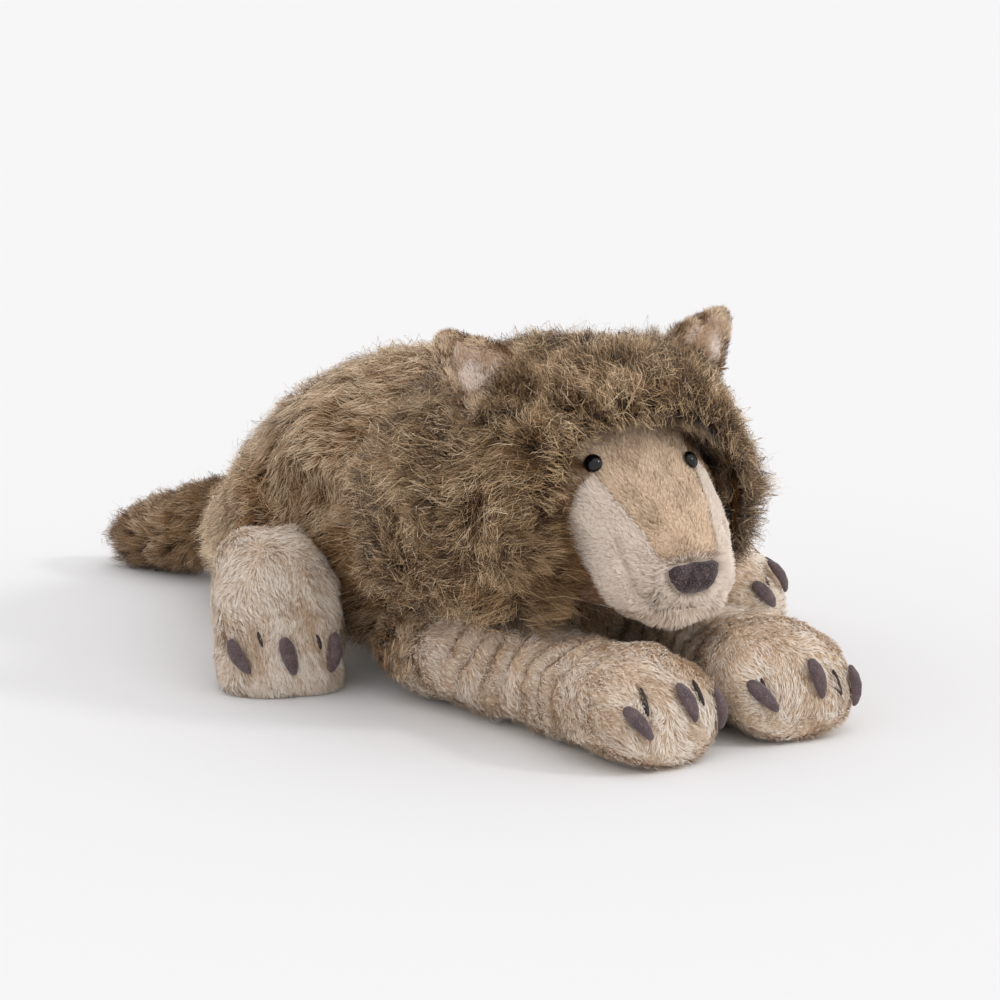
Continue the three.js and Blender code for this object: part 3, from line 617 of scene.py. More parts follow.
def grow(name, roots, pile, comb, draw, material, tone=0.5, reach=1.0, lift=1.0, levels=3, wild=0.18):
    """Fibres on a skin. comb(places) is the way they are brushed. tone is how pale each is from 0 to 1, reach
    a share of the pile's length, and lift a share of its lean, each a number or a function of the places. The
    greater wild is, the less the fibres lie one way. levels is the number of cross lines in a fibre."""
    places, normals = roots.places, roots.normals
    count = len(places)

    def flattened(vectors):
        return unit(vectors - normals * along(vectors, normals)[:, None])

    way = flattened(unit(comb(places)) + wild * draw.normal(size=(count, 3)))
    sway = 0.35 * waves(places, 5 * pile.tuft, 11)[:, 0]
    lean = pile.lean * np.exp(sway + 0.2 * draw.normal(size=count))
    lean = np.clip(lean * worked_out(lift, places), 0.08, 1.45)
    growth = np.exp(0.18 * waves(places, 4 * pile.tuft, 12)[:, 0])
    length = pile.length * growth * draw.uniform(0.7, 1.15, count)
    length = length * worked_out(reach, places)
    strays = draw.random(count) < STRAYS
    lean = np.where(strays, lean + draw.uniform(0.15, 0.6, count), lean)
    length = np.where(strays, length * draw.uniform(0.9, 1.15, count), length)
    own = (np.cos(lean)[:, None] * way + np.sin(lean)[:, None] * normals) * length[:, None]

    # A fibre's tip is drawn to the tip of its tuft's middle one, and hangs a little
    middles = tufts_of(roots, pile.tuft)
    meet = places[middles] + own[middles]
    hold = pile.gather * draw.uniform(0.5, 1.0, count)[:, None]
    hold[strays] *= 0.15
    far = own * (1 - hold) + (meet - places) * hold
    far *= np.minimum(1, 1.1 * length / np.maximum(np.linalg.norm(far, axis=1), 1e-9))[:, None]
    far[:, 2] -= 0.1 * length * np.abs(normals[:, 2])
    bend = normals * (0.22 * length)[:, None] + 0.34 * far
    kink = 0.4 * wild * length[:, None] * draw.normal(size=(count, 3))

    steps, widths = FIBRE_STEPS[levels], FIBRE_WIDTHS[levels]
    sides = 2 * (levels - 1) + 1
    thick = (pile.width * draw.uniform(0.65, 1.25, count) * np.where(strays, 0.65, 1))[:, None]
    turn = draw.uniform(-0.6, 0.6, count)[:, None]
    verts = np.empty((count, sides, 3))
    shading = np.empty((count, sides, 3))
    line = [
        places + 2 * s * (1 - s) * bend + s * s * far + (kink if 0 < s < 1 else 0) * (1 if i % 2 else -1)
        for i, s in enumerate(steps)
    ]
    for i, point in enumerate(line):
        if i + 1 < levels:
            run = unit(line[i + 1] - point)
            flat = unit(np.cross(run, normals) + 1e-6)
            flat = np.cos(turn) * flat + np.sin(turn) * np.cross(run, flat)
            half = flat * thick * widths[i] / 2
            verts[:, 2 * i] = point - half
            verts[:, 2 * i + 1] = point + half
            face = np.cross(flat, run)
            face *= np.sign(along(face, normals))[:, None]
            lit = unit(SKIN_SHADING * normals + (1 - SKIN_SHADING) * face)
            shading[:, 2 * i] = shading[:, 2 * i + 1] = lit
        else:
            verts[:, -1] = point
            shading[:, -1] = shading[:, -2]
    verts[..., 2] = np.maximum(verts[..., 2], FIBRE_FLOOR)

    faces = []
    for i in range(levels - 2):
        faces += [(2 * i, 2 * i + 1, 2 * i + 3), (2 * i, 2 * i + 3, 2 * i + 2)]
    faces.append((sides - 3, sides - 2, sides - 1))
    faces = np.array(faces)
    corners = (np.arange(count)[:, None, None] * sides + faces[None]).reshape(-1)
    mesh = bpy.data.meshes.new(name)
    mesh.vertices.add(count * sides)
    mesh.vertices.foreach_set("co", verts.astype(np.float32).ravel())
    mesh.loops.add(len(corners))
    mesh.loops.foreach_set("vertex_index", corners.astype(np.int32))
    mesh.polygons.add(len(corners) // 3)
    mesh.polygons.foreach_set("loop_start", np.arange(0, len(corners), 3, dtype=np.int32))
    mesh.update(calc_edges=True)
    mesh.shade_smooth()
    layer = mesh.attributes.new("custom_normal", "FLOAT_VECTOR", "POINT")
    layer.data.foreach_set("vector", shading.astype(np.float32).ravel())

    # Each tuft has a tone of its own, and its sides are painted darker than its middle, as the shade between
    # locks
    off = np.linalg.norm(places - places[middles], axis=1) / pile.tuft
    lock = 0.7 * wild * draw.normal(size=count)[middles] - 0.8 * wild * smooth_step(off, 0.25, 0.6)
    pale = worked_out(tone, places) + lock + 1.2 * wild * draw.normal(size=count)
    pale = np.clip(pale, 0.02, 0.98)
    heights = np.repeat(np.array(steps), 2)[:sides]
    edge = np.where(np.arange(sides) % 2, 0.004, -0.004)
    edge[-1] = 0
    across_map = (pale[:, None] + edge[None]).reshape(-1)[corners]
    up_map = np.tile(heights * 0.96 + 0.02, count)[corners]
    layer = mesh.uv_layers.new(name=PILE_MAP)
    layer.data.foreach_set("uv", np.stack([across_map, up_map], 1).astype(np.float32).ravel())
    return add_object(name, mesh, material)


def plant(name, skin, rides, count, draw, pile, comb, fur, clear=30 * MM, keep=None, **looks):
    """A piece of pile on a skin. rides names the body that carries it and its slot, which is not used."""
    roots = Roots(skin, count, draw, clear, keep)
    made = grow(name, roots, pile, comb, draw, fur, **looks)
    body, slot = rides
    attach(made, body)


def wisps(name, skin, rides, count, draw, pile, comb, keep, tone):
    """Pale fibres that are longer than the pile, lie over it in loose curves and catch the light."""
    hair = linear("#b48a5c")
    fur = bpy.data.materials.get("crimped_guard_hair") or pile_material(
        "crimped_guard_hair", pile.body, hair, hair, linear("#fee5c0"), top=0.8
    )
    # The tone given carries the pile's painted light on top and painted shade low down
    looks = {"tone": lambda places: 0.45 + 0.6 * tone(places), "reach": 1.1, "lift": 0.95}
    plant(
        name, skin, rides, count, draw, pile, comb, fur, 12 * MM, keep, levels=4, wild=0.36, **looks
    )


def patches(size, seed, low=0.0, high=1.0):
    """A tone in soft patches about size across."""

    def tone(places):
        return low + (high - low) * (0.5 + 0.5 * np.clip(waves(places, size, seed)[:, 0], -1, 1))

    return tone


def settings():
    return bpy.context.scene


def soft(piece, body, nodes):
    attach(piece, body)
    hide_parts(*nodes)


def side_of(spine, side, places, normals):
    """True for the places on one side of the spine."""
    return (places[:, 0] - spine) * side > 0


def cut_at(piece, height, keep_above):
    """Cuts a closed form level and closes it again."""
    form = bmesh.new()
    form.from_mesh(piece.data)
    cut = bmesh.ops.bisect_plane(
        form,
        geom=[*form.verts, *form.edges, *form.faces],
        plane_co=(0, 0, height),
        plane_no=(0, 0, -1 if keep_above else 1),
        clear_outer=True,
    )
    rim = [e for e in cut["geom_cut"] if isinstance(e, bmesh.types.BMEdge)]
    bmesh.ops.holes_fill(form, edges=rim)
    form.to_mesh(piece.data)
    form.free()


class WOLF_OT_back(bpy.types.Operator):
    """Builds the back cover with its long pile, and the cream belly panel"""

    bl_idname = "wolf.back"
    bl_label = "Back and belly"

    def execute(self, context):
        pile, legs = settings().back_pile, settings().leg_pile
        low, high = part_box("back_cover")
        spine = (low.x + high.x) / 2
        backing = backing_material("knitted_backing_olive", pile.roots, pile.body, *LONG_KNIT)
        nodes = ("back_cover", "belly_panel", "body_stuffing")
        back = soft_form("back", nodes, backing, 5 * MM, 7 * MM, body="body")
        cream = backing_material("knitted_backing_cream", linear("#b3a48f"), linear("#d8ccb9"), *LONG_KNIT)
        belly = add_object("belly", back.data.copy(), cream)
        belly.data.materials.clear()
        belly.data.materials.append(cream)
        cut_at(back, low.z, True)
        cut_at(belly, low.z, False)
        carried["body"].append(belly)
        soft(back, "body", ("back_cover", "body_stuffing"))
        soft(belly, "body", ("belly_panel",))

        def comb(places):
            off = places[:, 0] - spine
            out = np.sign(off) * np.minimum(1, np.abs(off) / 0.08)
            way = np.stack([0.35 * out, np.full(len(places), 0.75), -0.6 * np.abs(out)], 1)
            return way + 0.5 * waves(places, 75 * MM, 5, 3) + 0.45 * waves(places, 26 * MM, 8, 3)

        def tone(places):
            """Palest along the spine and on the rump, as painted light, and dark low down, as painted shade.
            """
            rise = smooth_step(places[:, 2], 85 * MM, 245 * MM)
            rump = smooth_step(places[:, 1], 100 * MM, 220 * MM)
            spots = 0.4 * waves(places, 34 * MM, 6)[:, 0] + 0.26 * waves(places, 13 * MM, 7)[:, 0]
            return 0.19 + 0.84 * rise + 0.8 * rump + spots

        colours = (pile.roots, pile.shade, pile.body, pile.tips)
        fur = pile_material("long_plush_pile_olive", *colours, foot=0.15, top=0.78)
        for side, name in zip((-1, 1), SIDES):
            draw = np.random.default_rng(101 + side)
            half = partial(side_of, spine, side)
            plant(
                f"back_pile_{name}", back, BACK_FUR, 32000, draw, pile, comb, fur, 12 * MM, half,
                tone=tone, wild=0.22,
            )
            wisps(f"back_wisps_{name}", back, BACK_FUR, 6500, draw, pile, comb, half, tone)
        draw = np.random.default_rng(103)
        short = pile_material("short_plush_pile_belly", legs.roots, legs.shade, legs.body, legs.tips)
        plant(
            "belly_pile", belly, ("body", "cream_pile"), 5000, draw, legs, comb, short,
            keep=lambda places, normals: places[:, 2] > 4 * MM,
        )
        return {"FINISHED"}


class WOLF_OT_neck(bpy.types.Operator):
    """Builds the pad between the body and the head, in the pile of the back"""

    bl_idname = "wolf.neck"
    bl_label = "Neck"

    def execute(self, context):
        pile = settings().back_pile
        backing = backing_material("knitted_backing_neck", pile.roots, pile.body, *LONG_KNIT)
        neck = soft_form("neck", ("neck_stuffing",), backing, 4 * MM, 0, rounds=4)
        soft(neck, "neck", ("neck_stuffing",))
        middle = middle_of("neck_stuffing", NECK_HEIGHT)

        def rim(places, normals):
            return along(outwards(places, middle), normals) > 0.1

        def comb(places):
            back = np.array([0, 0.6, 0])
            return outwards(places, middle) * 0.9 + back + 0.5 * waves(places, 30 * MM, 15, 3)

        fur = bpy.data.materials["long_plush_pile_olive"]
        plant(
            "neck_pile", neck, ("neck", "long_pile_back"), 9000, np.random.default_rng(151), pile, comb,
            fur, keep=rim, tone=patches(30 * MM, 16, 0.0, 0.5), lift=1.8, wild=0.3,
        )
        return {"FINISHED"}


class WOLF_OT_mane(bpy.types.Operator):
    """Builds the mane: a hood of longer pile round the face, with loose fibres over its lip"""

    bl_idname = "wolf.mane"
    bl_label = "Mane"

    def execute(self, context):
        pile = settings().mane_pile
        backing = backing_material("knitted_backing_mane", pile.roots, pile.body, *LONG_KNIT)
        filling = soft_form("head_filling", ("head_stuffing",), backing, 7 * MM, 1 * MM)
        soft(filling, "head", ("head_stuffing",))
        hood = soft_form("mane", ("mane_hood",), backing, 3 * MM, 0, body="head")
        soft(hood, "head", ("mane_hood",))
        low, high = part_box("mane_hood")
        middle = middle_of("mane_hood", HOOD_HEIGHT)
        self.draw_in(hood, middle, low, high)

        def at_hem(places):
            """1 along the hood's back edge, where the pile lies back over the gap to the body."""
            return smooth_step(places[:, 1], high.y - 55 * MM, high.y - 20 * MM)

        def comb(places):
            out = outwards(places, middle)
            out[:, 2] = np.maximum(out[:, 2], -0.35)
            swirl = 0.5 * waves(places, 60 * MM, 21, 3) + 0.55 * waves(places, 24 * MM, 27, 3)
            hem = at_hem(places)[:, None]
            return out * 0.5 * (1 - hem) + np.array([0, 0.7, 0]) * (1 + hem) + swirl * (1 - 0.6 * hem)

        def tone(places):
            """Painted shade: dark along the lip, where the pile parts and its roots lie in shadow, and low
            down.
            """
            lip = 1 - smooth_step(places[:, 1], low.y + 4 * MM, low.y + 30 * MM)
            rise = smooth_step(places[:, 2], low.z + 20 * MM, high.z - 30 * MM)
            spots = 0.3 * waves(places, 30 * MM, 22)[:, 0] + 0.25 * waves(places, 11 * MM, 23)[:, 0]
            return 0.13 + 0.33 * rise - 0.22 * lip + spots

        ears = [np.array(j["pos_m"]) for j in frame["joints"] if j["child"].startswith("ear_")]

        def lift(places):
            """The pile stands up round the foot of each ear."""
            near = [np.exp(-(np.linalg.norm(places - foot, axis=1) / (30 * MM)) ** 2) for foot in ears]
            return (1 + 0.9 * sum(near)) * (1 - 0.35 * at_hem(places))

        def reach(places):
            return 0.6 + 0.4 * smooth_step(places[:, 2], low.z, low.z + 45 * MM) + 0.3 * at_hem(places)

        colours = (pile.roots, pile.shade, pile.body, pile.tips)
        fur = pile_material("long_plush_pile_mane", *colours, foot=0.25)
        for side, name in zip((-1, 1), SIDES):
            draw = np.random.default_rng(201 + side)

            def half(places, normals, side=side):
                outside = along(outwards(places, middle), normals) > -0.1
                return outside & side_of(middle[0], side, places, normals)

            plant(
                f"mane_pile_{name}", hood, MANE_FUR, 32000, draw, pile, comb, fur, 12 * MM, half,
                tone=tone, reach=reach, lift=lift, wild=0.3,
            )
            wisps(f"mane_wisps_{name}", hood, MANE_FUR, 7500, draw, pile, comb, half, tone)
        return {"FINISHED"}

    def draw_in(self, hood, middle, low, high):
        """Draws both faces of the hood in by the pile's depth. Its wall is thin at the nape, so there the
        inner face stays and the outer one moves less."""
        places, normals = coordinates(hood.data), normals_of(hood.data)
        outer = smooth_step(along(outwards(places, middle), normals), -0.2, 0.2)
        front = 1 - smooth_step(places[:, 1], low.y + 45 * MM, high.y - 45 * MM)
        inset = 5 * MM * front * (1 - outer) + 7 * MM * (front + 0.3 * (1 - front)) * outer
        set_coordinates(hood.data, places - normals * inset[:, None])


class WOLF_OT_fringe(bpy.types.Operator):
    """Grows the pile inside the mane's opening and the loose fibres that hang over the forehead"""

    bl_idname = "wolf.fringe"
    bl_label = "Fringe of the mane"

    def execute(self, context):
        pile = settings().mane_pile
        hood = bpy.data.objects["mane"]
        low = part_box("mane_hood")[0]
        middle = middle_of("mane_hood", HOOD_HEIGHT)
        fur = bpy.data.materials["long_plush_pile_mane"]

        def inside(places, normals):
            inner = along(outwards(places, middle), normals) < 0.1
            return inner & (places[:, 1] < low.y + 75 * MM)

        def forwards(places):
            out = outwards(places, middle)
            return np.array([0, -1, 0]) + 0.45 * out + 0.45 * waves(places, 30 * MM, 25, 3)

        def far(places):
            """0 on the wolf's right and 1 on its left, where the pile fills the gap beside the face."""
            return smooth_step(places[:, 0], middle[0] - 10 * MM, middle[0] + 30 * MM)

        def lining_tone(places):
            # Painted shade inside the hood's opening, darkest on the wolf's right
            return 0.1 + 0.5 * far(places) + 0.25 * waves(places, 20 * MM, 26)[:, 0]

        plant(
            "mane_lining", hood, MANE_FUR, 14000, np.random.default_rng(204), pile, forwards, fur, 7 * MM,
            inside, tone=lining_tone, reach=lambda p: 0.55 + 0.4 * far(p), lift=lambda p: 1 + 0.4 * far(p),
            wild=0.26,
        )

        def hanging(places):
            out = outwards(places, middle)
            return np.array([0, -0.8, 0]) - 0.5 * out + 0.9 * waves(places, 22 * MM, 24, 3)

        def lip(places, normals):
            return (normals[:, 1] < -0.5) & (places[:, 1] < low.y + 26 * MM)

        plant(
            "mane_fringe", hood, MANE_FUR, 1800, np.random.default_rng(203), pile, hanging, fur,
            keep=lip, tone=0.8, reach=0.8, levels=4, wild=0.34,
        )

        def beside_jaw(places, normals):
            """The lower part of the lip, where the pile lies forward over the cheeks to the jaw."""
            below = 1 - smooth_step(places[:, 2], 150 * MM, 185 * MM)
            right = places[:, 0] < middle[0]
            return below * right * (normals[:, 1] < 0.1) * (places[:, 1] < low.y + 45 * MM)

        def to_jaw(places):
            inwards = np.clip((middle[0] - places[:, 0]) / (60 * MM), -1, 1)
            way = np.stack([0.95 * inwards, np.full(len(places), -1.0), np.full(len(places), -0.2)], 1)
            return way + 0.4 * waves(places, 22 * MM, 29, 3)

        # The jaw locks are painted dark, as the shade under the mane's lip
        plant(
            "mane_jaw_locks", hood, MANE_FUR, 6000, np.random.default_rng(205), pile, to_jaw, fur, 4 * MM,
            beside_jaw, tone=patches(22 * MM, 28, -0.15, 0.45), reach=1.4, levels=4, wild=0.24,
        )
        return {"FINISHED"}


class WOLF_OT_eyes(bpy.types.Operator):
    """Turns the two eyes: a dome on a shank, pressed through the face"""

    bl_idname = "wolf.eyes"
    bl_label = "Eyes"

    def execute(self, context):
        trim = settings().trim
        acrylic = eye_material("black_acrylic", trim.eye)
        for side, name in zip((-1, 1), SIDES):
            way = Vector((side * EYE_WAY[0], *EYE_WAY[1:])).normalized()
            cad = frame["nodes"][f"eye_{name}"].data.vertices
            apex = max((v.co for v in cad), key=lambda co: co.dot(way))
            form = bmesh.new()
            radius = trim.eye_size / 2
            shank = [(0, -SHANK_LENGTH), (SHANK_RADIUS, -SHANK_LENGTH), (SHANK_RADIUS, -1.6 * MM)]
            angles = [math.radians(degrees) for degrees in range(0, 91, 10)]
            dome = [(radius * math.cos(angle), EYE_RISE * math.sin(angle)) for angle in angles]
            outline = [*shank, (radius * 0.9, -1.2 * MM), *dome]
            line = [form.verts.new((x, 0, z - EYE_RISE)) for x, z in outline]
            line[-1].co.x = 0
            for a, b in zip(line, line[1:]):
                form.edges.new((a, b))
            profile = [*form.verts, *form.edges]
            centre, axis = (0, 0, 0), (0, 0, 1)
            bmesh.ops.spin(
                form, geom=profile, cent=centre, axis=axis, angle=math.tau, steps=40, use_merge=True
            )
            bmesh.ops.remove_doubles(form, verts=form.verts, dist=MERGE)
            bmesh.ops.recalc_face_normals(form, faces=form.faces)
            turn = way.to_track_quat("Z", "Y").to_matrix().to_4x4()
            form.transform(Matrix.Translation(apex) @ turn)
            eye = smooth_object(f"eye_{name}_dome", form, acrylic)
            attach(eye, "head")
            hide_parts(f"eye_{name}")
            carried["head"].append(eye)
        washers = washer_material("moulded_washer_plastic")
        for name in SIDES:
            washer = frame["nodes"][f"eye_washer_{name}"]
            washer.data.materials.clear()
            washer.data.materials.append(washers)
        return {"FINISHED"}


class WOLF_OT_nose(bpy.types.Operator):
    """Builds the stuffed suede nose"""

    bl_idname = "wolf.nose"
    bl_label = "Nose"

    def execute(self, context):
        trim = settings().trim
        suede = suede_material("imitation_suede_nose", trim.nose, trim.fuzz)
        nose = soft_form("nose_pad", ("nose",), suede, 1 * MM, 0, rounds=8, body="head")
        soft(nose, "head", ("nose",))
        return {"FINISHED"}


def mouth_line():
    """The mouth's crease, down the wolf's right from beside the nose, under it and up on the left."""
    low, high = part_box("nose")
    middle = (low.x + high.x) / 2 / MM
    right = [
        (-96.4, -333.4, 161.2),
        (-95.1, -340.7, 150.4),
        (-93.2, -347.3, 135.4),
        (-84.2, -352.3, 119.1),
    ]
    left = [(2 * middle - x, y, z) for x, y, z in reversed(right)]
    return [*right, (middle, -360, 108), *left]


MOUTH = mouth_line()

# Where the muzzle's cream pile begins, as heights and the places along the head at them, in millimetres
CREAM_BORDER = ((124, 140, 151, 166, 180, 206), (-321.5, -314.5, -307.5, -299.6, -297.0, -295.5))


class WOLF_OT_face(bpy.types.Operator):
    """Builds the face's panels of short pile: bridge, cheeks, muzzle sides and chin"""

    bl_idname = "wolf.face"
    bl_label = "Face"

    def execute(self, context):
        pile = settings().face_pile
        low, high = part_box("nose")
        snout = np.array([(low.x + high.x) / 2, high.y, (low.z + high.z) / 2])
        core = snout + np.array([0, 0.1, 0.03])
        tans = (pile.tan_roots, pile.tan_tips)
        browns = (pile.brown_roots, pile.brown_tips)
        creams = (pile.cream_roots, pile.cream_tips)
        panels = (
            ("face_bridge", tans, browns, "tan_pile", 22000),
            ("cheek_right", browns, tans, "brown_pile", 8000),
            ("cheek_left", browns, tans, "brown_pile", 8000),
            ("muzzle_side_right", creams, browns, "cream_pile", 20000),
            ("muzzle_side_left", creams, browns, "cream_pile", 20000),
            ("chin", creams, browns, "cream_pile", 7000),
        )
        skins = []
        for node_name, own, _, slot, _ in panels:
            backing = backing_material(f"knitted_backing_{node_name}", *own, *FACE_KNIT)
            skin = soft_form(
                f"{node_name}_panel", (node_name,), backing, 1.6 * MM, 3 * MM, 4, body="head", core=core
            )
            if node_name.startswith("muzzle"):
                self.crease_mouth(skin)
            soft(skin, "head", (node_name,))
            skins.append(skin)

        def outside(places, normals):
            outer = along(unit(places - core), normals) > 0.1
            return outer * (1 - 0.6 * crease(places, MOUTH, 3 * MM))

        def comb(places):
            away = unit(places - snout)
            return away + np.array([0, 0.25, 0]) + 0.22 * waves(places, 25 * MM, 31, 3)

        def muzzle_tone(places):
            """Cream. The bridge's tan runs down to the nose, and the cheek's brown comes forward. Painted
            shade darkens the mouth's crease.
            """
            above = smooth_step(places[:, 2], high.z - 3 * MM, high.z + 1 * MM)
            beside = np.abs(places[:, 0] - snout[0]) / (high.x - low.x)
            cap = above * (1 - smooth_step(beside, 0.4, 0.6))
            cap *= 1 - smooth_step(places[:, 1], high.y + 18 * MM, high.y + 34 * MM)
            border = np.interp(places[:, 2], *(np.array(row) * MM for row in CREAM_BORDER))
            behind = smooth_step(places[:, 1] - border, -2 * MM, 4 * MM)
            return -0.8 * cap - 1.15 * behind - 0.25 * crease(places, MOUTH, 5 * MM)

        def tone_of(node_name, patch):
            def tone(places):
                spots = patches(18 * MM, patch, -0.12, 0.12)(places)
                if node_name.startswith("muzzle") or node_name == "chin":
                    return 1.15 + spots + muzzle_tone(places)
                if node_name.startswith("cheek"):
                    return 0.98 + spots - 0.3 * smooth_step(-places[:, 1], 0.275, 0.30)
                return 0.86 + 1.2 * spots

            return tone

        def reach(places):
            """The pile is longest round the nose."""
            near = np.linalg.norm((places - snout) / (1, 1, 1.2), axis=1)
            return 0.85 + 0.75 * (1 - smooth_step(near, 30 * MM, 48 * MM)) * (places[:, 2] < high.z)

        for seed, (skin, (node_name, own, other, slot, count)) in enumerate(zip(skins, panels)):
            draw = np.random.default_rng(300 + seed)
            fur = pile_material(f"short_plush_pile_{node_name}", *other, *own)
            plant(
                f"{node_name}_pile", skin, ("head", slot), count, draw, pile, comb, fur, 8 * MM, outside,
                tone=tone_of(node_name, 32 + seed), reach=reach, lift=lambda p: 0.6 + 0.45 * reach(p),
                wild=0.1,
            )
        return {"FINISHED"}

    def crease_mouth(self, skin):
        """The stitch that draws in the mouth on both sides of the muzzle."""
        places = coordinates(skin.data)
        depth = 6 * MM * crease(places, MOUTH, 9 * MM)
        set_coordinates(skin.data, places - normals_of(skin.data) * depth[:, None])


# How far the cream of an ear's lining lies from the lining's middle, in millimetres
CREAM_SHIFT = {"right": (-3, -2, -9), "left": (4, 0, -5)}


class WOLF_OT_ears(bpy.types.Operator):
    """Builds the two ears: mottled tan outside, cream inside"""

    bl_idname = "wolf.ears"
    bl_label = "Ears"

    def execute(self, context):
        pile = settings().face_pile
        tans, creams = (pile.tan_roots, pile.tan_tips), (pile.cream_roots, pile.cream_tips)
        backing = backing_material("knitted_backing_ear", *tans, *FACE_KNIT)
        lining = backing_material("knitted_backing_lining", *creams, *FACE_KNIT)
        colours = (linear(colour) for colour in ("#4c3523", "#8a6748", "#b99a7c", "#f1d8b8"))
        outer = pile_material("short_plush_pile_ear", *colours, top=0.7)
        colours = (linear(colour) for colour in ("#7d5d42", "#c9a888", "#d2bca8", "#fbeee2"))
        inner = pile_material("short_plush_pile_lining", *colours, top=0.7)
        parts = (("outer", backing, outer, "tan_pile", 10000), ("inner", lining, inner, "cream_pile", 5000))
        for seed, name in enumerate(SIDES):
            body = f"ear_{name}"
            foot = joint_of(body)
            skins = {}
            for part, cloth, _, slot, _ in parts:
                nodes = (f"{body}_{part}",)
                skins[part] = soft_form(
                    f"{body}_{part}_skin", nodes, cloth, 1.2 * MM, 0.8 * MM, rounds=7, body=body
                )
                soft(skins[part], body, nodes)
            lining_middle = coordinates(skins["inner"].data).mean(0) + np.array(CREAM_SHIFT[name]) * MM

            def comb(places, way=(-0.5 if name == "right" else 0.5, 0.1, 0.9)):
                return np.array(way) + 0.45 * waves(places, 18 * MM, 41, 3)

            def outer_tone(places, foot=foot):
                """Brown patches in a band inside the rim."""
                height = np.linalg.norm(places - foot, axis=1)
                band = smooth_step(height, 20 * MM, 28 * MM) * (1 - smooth_step(height, 44 * MM, 54 * MM))
                return 0.92 - band * (0.5 + 0.55 * waves(places, 12 * MM, 42)[:, 0])

            def inner_tone(places, middle=lining_middle):
                """Cream in the middle, and the tan of the outside towards the seam."""
                out = np.linalg.norm(places - middle, axis=1)
                spots = 0.35 * waves(places, 10 * MM, 43)[:, 0] * smooth_step(out, 4 * MM, 9 * MM)
                return 0.95 - 0.9 * smooth_step(out, 5 * MM, 14 * MM) + spots

            self.hide_foot(name, foot)
            tones = {"outer": outer_tone, "inner": inner_tone}
            for part, _, fur, slot, count in parts:
                draw = np.random.default_rng(400 + 2 * seed + (part == "inner"))
                plant(
                    f"{body}_{part}_pile", skins[part], (body, slot), count, draw, pile, comb, fur,
                    2.5 * MM, tone=tones[part], reach=1.5, lift=1.4, wild=0.3,
                )
        return {"FINISHED"}

    def hide_foot(self, name, foot):
        """A tuft of the mane that stands in front of an ear's foot."""
        pile = settings().mane_pile
        fur = bpy.data.materials["long_plush_pile_mane"]

        def keep(places, normals):
            near = 1 - smooth_step(np.linalg.norm(places - foot, axis=1), 22 * MM, 34 * MM)
            return near * (places[:, 1] < foot[1] + 2 * MM) * (normals[:, 2] > -0.2)

        def comb(places):
            return np.array([0, -0.2, 1.0]) + 0.6 * waves(places, 18 * MM, 45, 3)

        plant(
            f"ear_{name}_tuft", bpy.data.objects["mane"], MANE_FUR, 3500,
            np.random.default_rng(440 + len(name)), pile, comb, fur, 6 * MM, keep,
            tone=patches(14 * MM, 46, 0.0, 0.9), reach=0.95, lift=2.0, levels=4, wild=0.3,
        )


# Creases between the toes, where the thread draws them in, as points in millimetres
TOE_SLOTS = {
    "front_leg_right": (
        ((-118.9, -393.7, 73.9), (-122.7, -408.8, 57.2), (-123.6, -418.8, 37.4)),
        ((-70, -392, 72), (-68, -406, 56), (-67, -415, 38)),
    ),
    "front_leg_left": (
        ((-3.2, -399.3, 64.4), (-4.0, -409.2, 46.4), (-3.8, -416.8, 26.2)),
        ((62, -404, 62), (62.6, -416, 45), (64.7, -421, 26)),
    ),
    "hind_leg_right": (
        ((-256.3, -54, 59.4), (-254, -57.8, 49.8), (-251.4, -60.9, 34.9)),
        ((-207.7, -77.8, 58.7), (-205.9, -80.8, 47.3), (-202.1, -80.8, 34.9)),
    ),
    "hind_leg_left": (
        ((222, -124, 60), (226, -132, 48), (228, -136, 34)),
        ((258, -98, 60), (262, -102, 48), (263, -104, 34)),
    ),
}

# Fibres drawn on each leg
PILE_COUNTS = {
    "front_leg_right": 50000,
    "front_leg_left": 44000,
    "hind_leg_right": 40000,
    "hind_leg_left": 22000,
}

# How far a claw is turned on its toe, in degrees, where that isn't the usual turn
USUAL_TURN = 12
CLAW_TURNS = {
    "front_right_claw_outer": 18,
    "front_right_claw_inner": 8,
    "front_left_claw_inner": 24,
    "front_left_claw_middle": 4,
    "front_left_claw_outer": 14,
    "hind_right_claw_outer": 22,
    "hind_right_claw_middle": 18,
    "hind_right_claw_inner": 4,
}


def joint_of(body):
    """Where a body's joint is."""
    return np.array(next(j["pos_m"] for j in frame["joints"] if j["child"] == body))


def paw_of(body):
    """The middle of a leg's paw, between its toe creases."""
    return np.mean([np.array(path[1]) * MM for path in TOE_SLOTS[body]], axis=0)


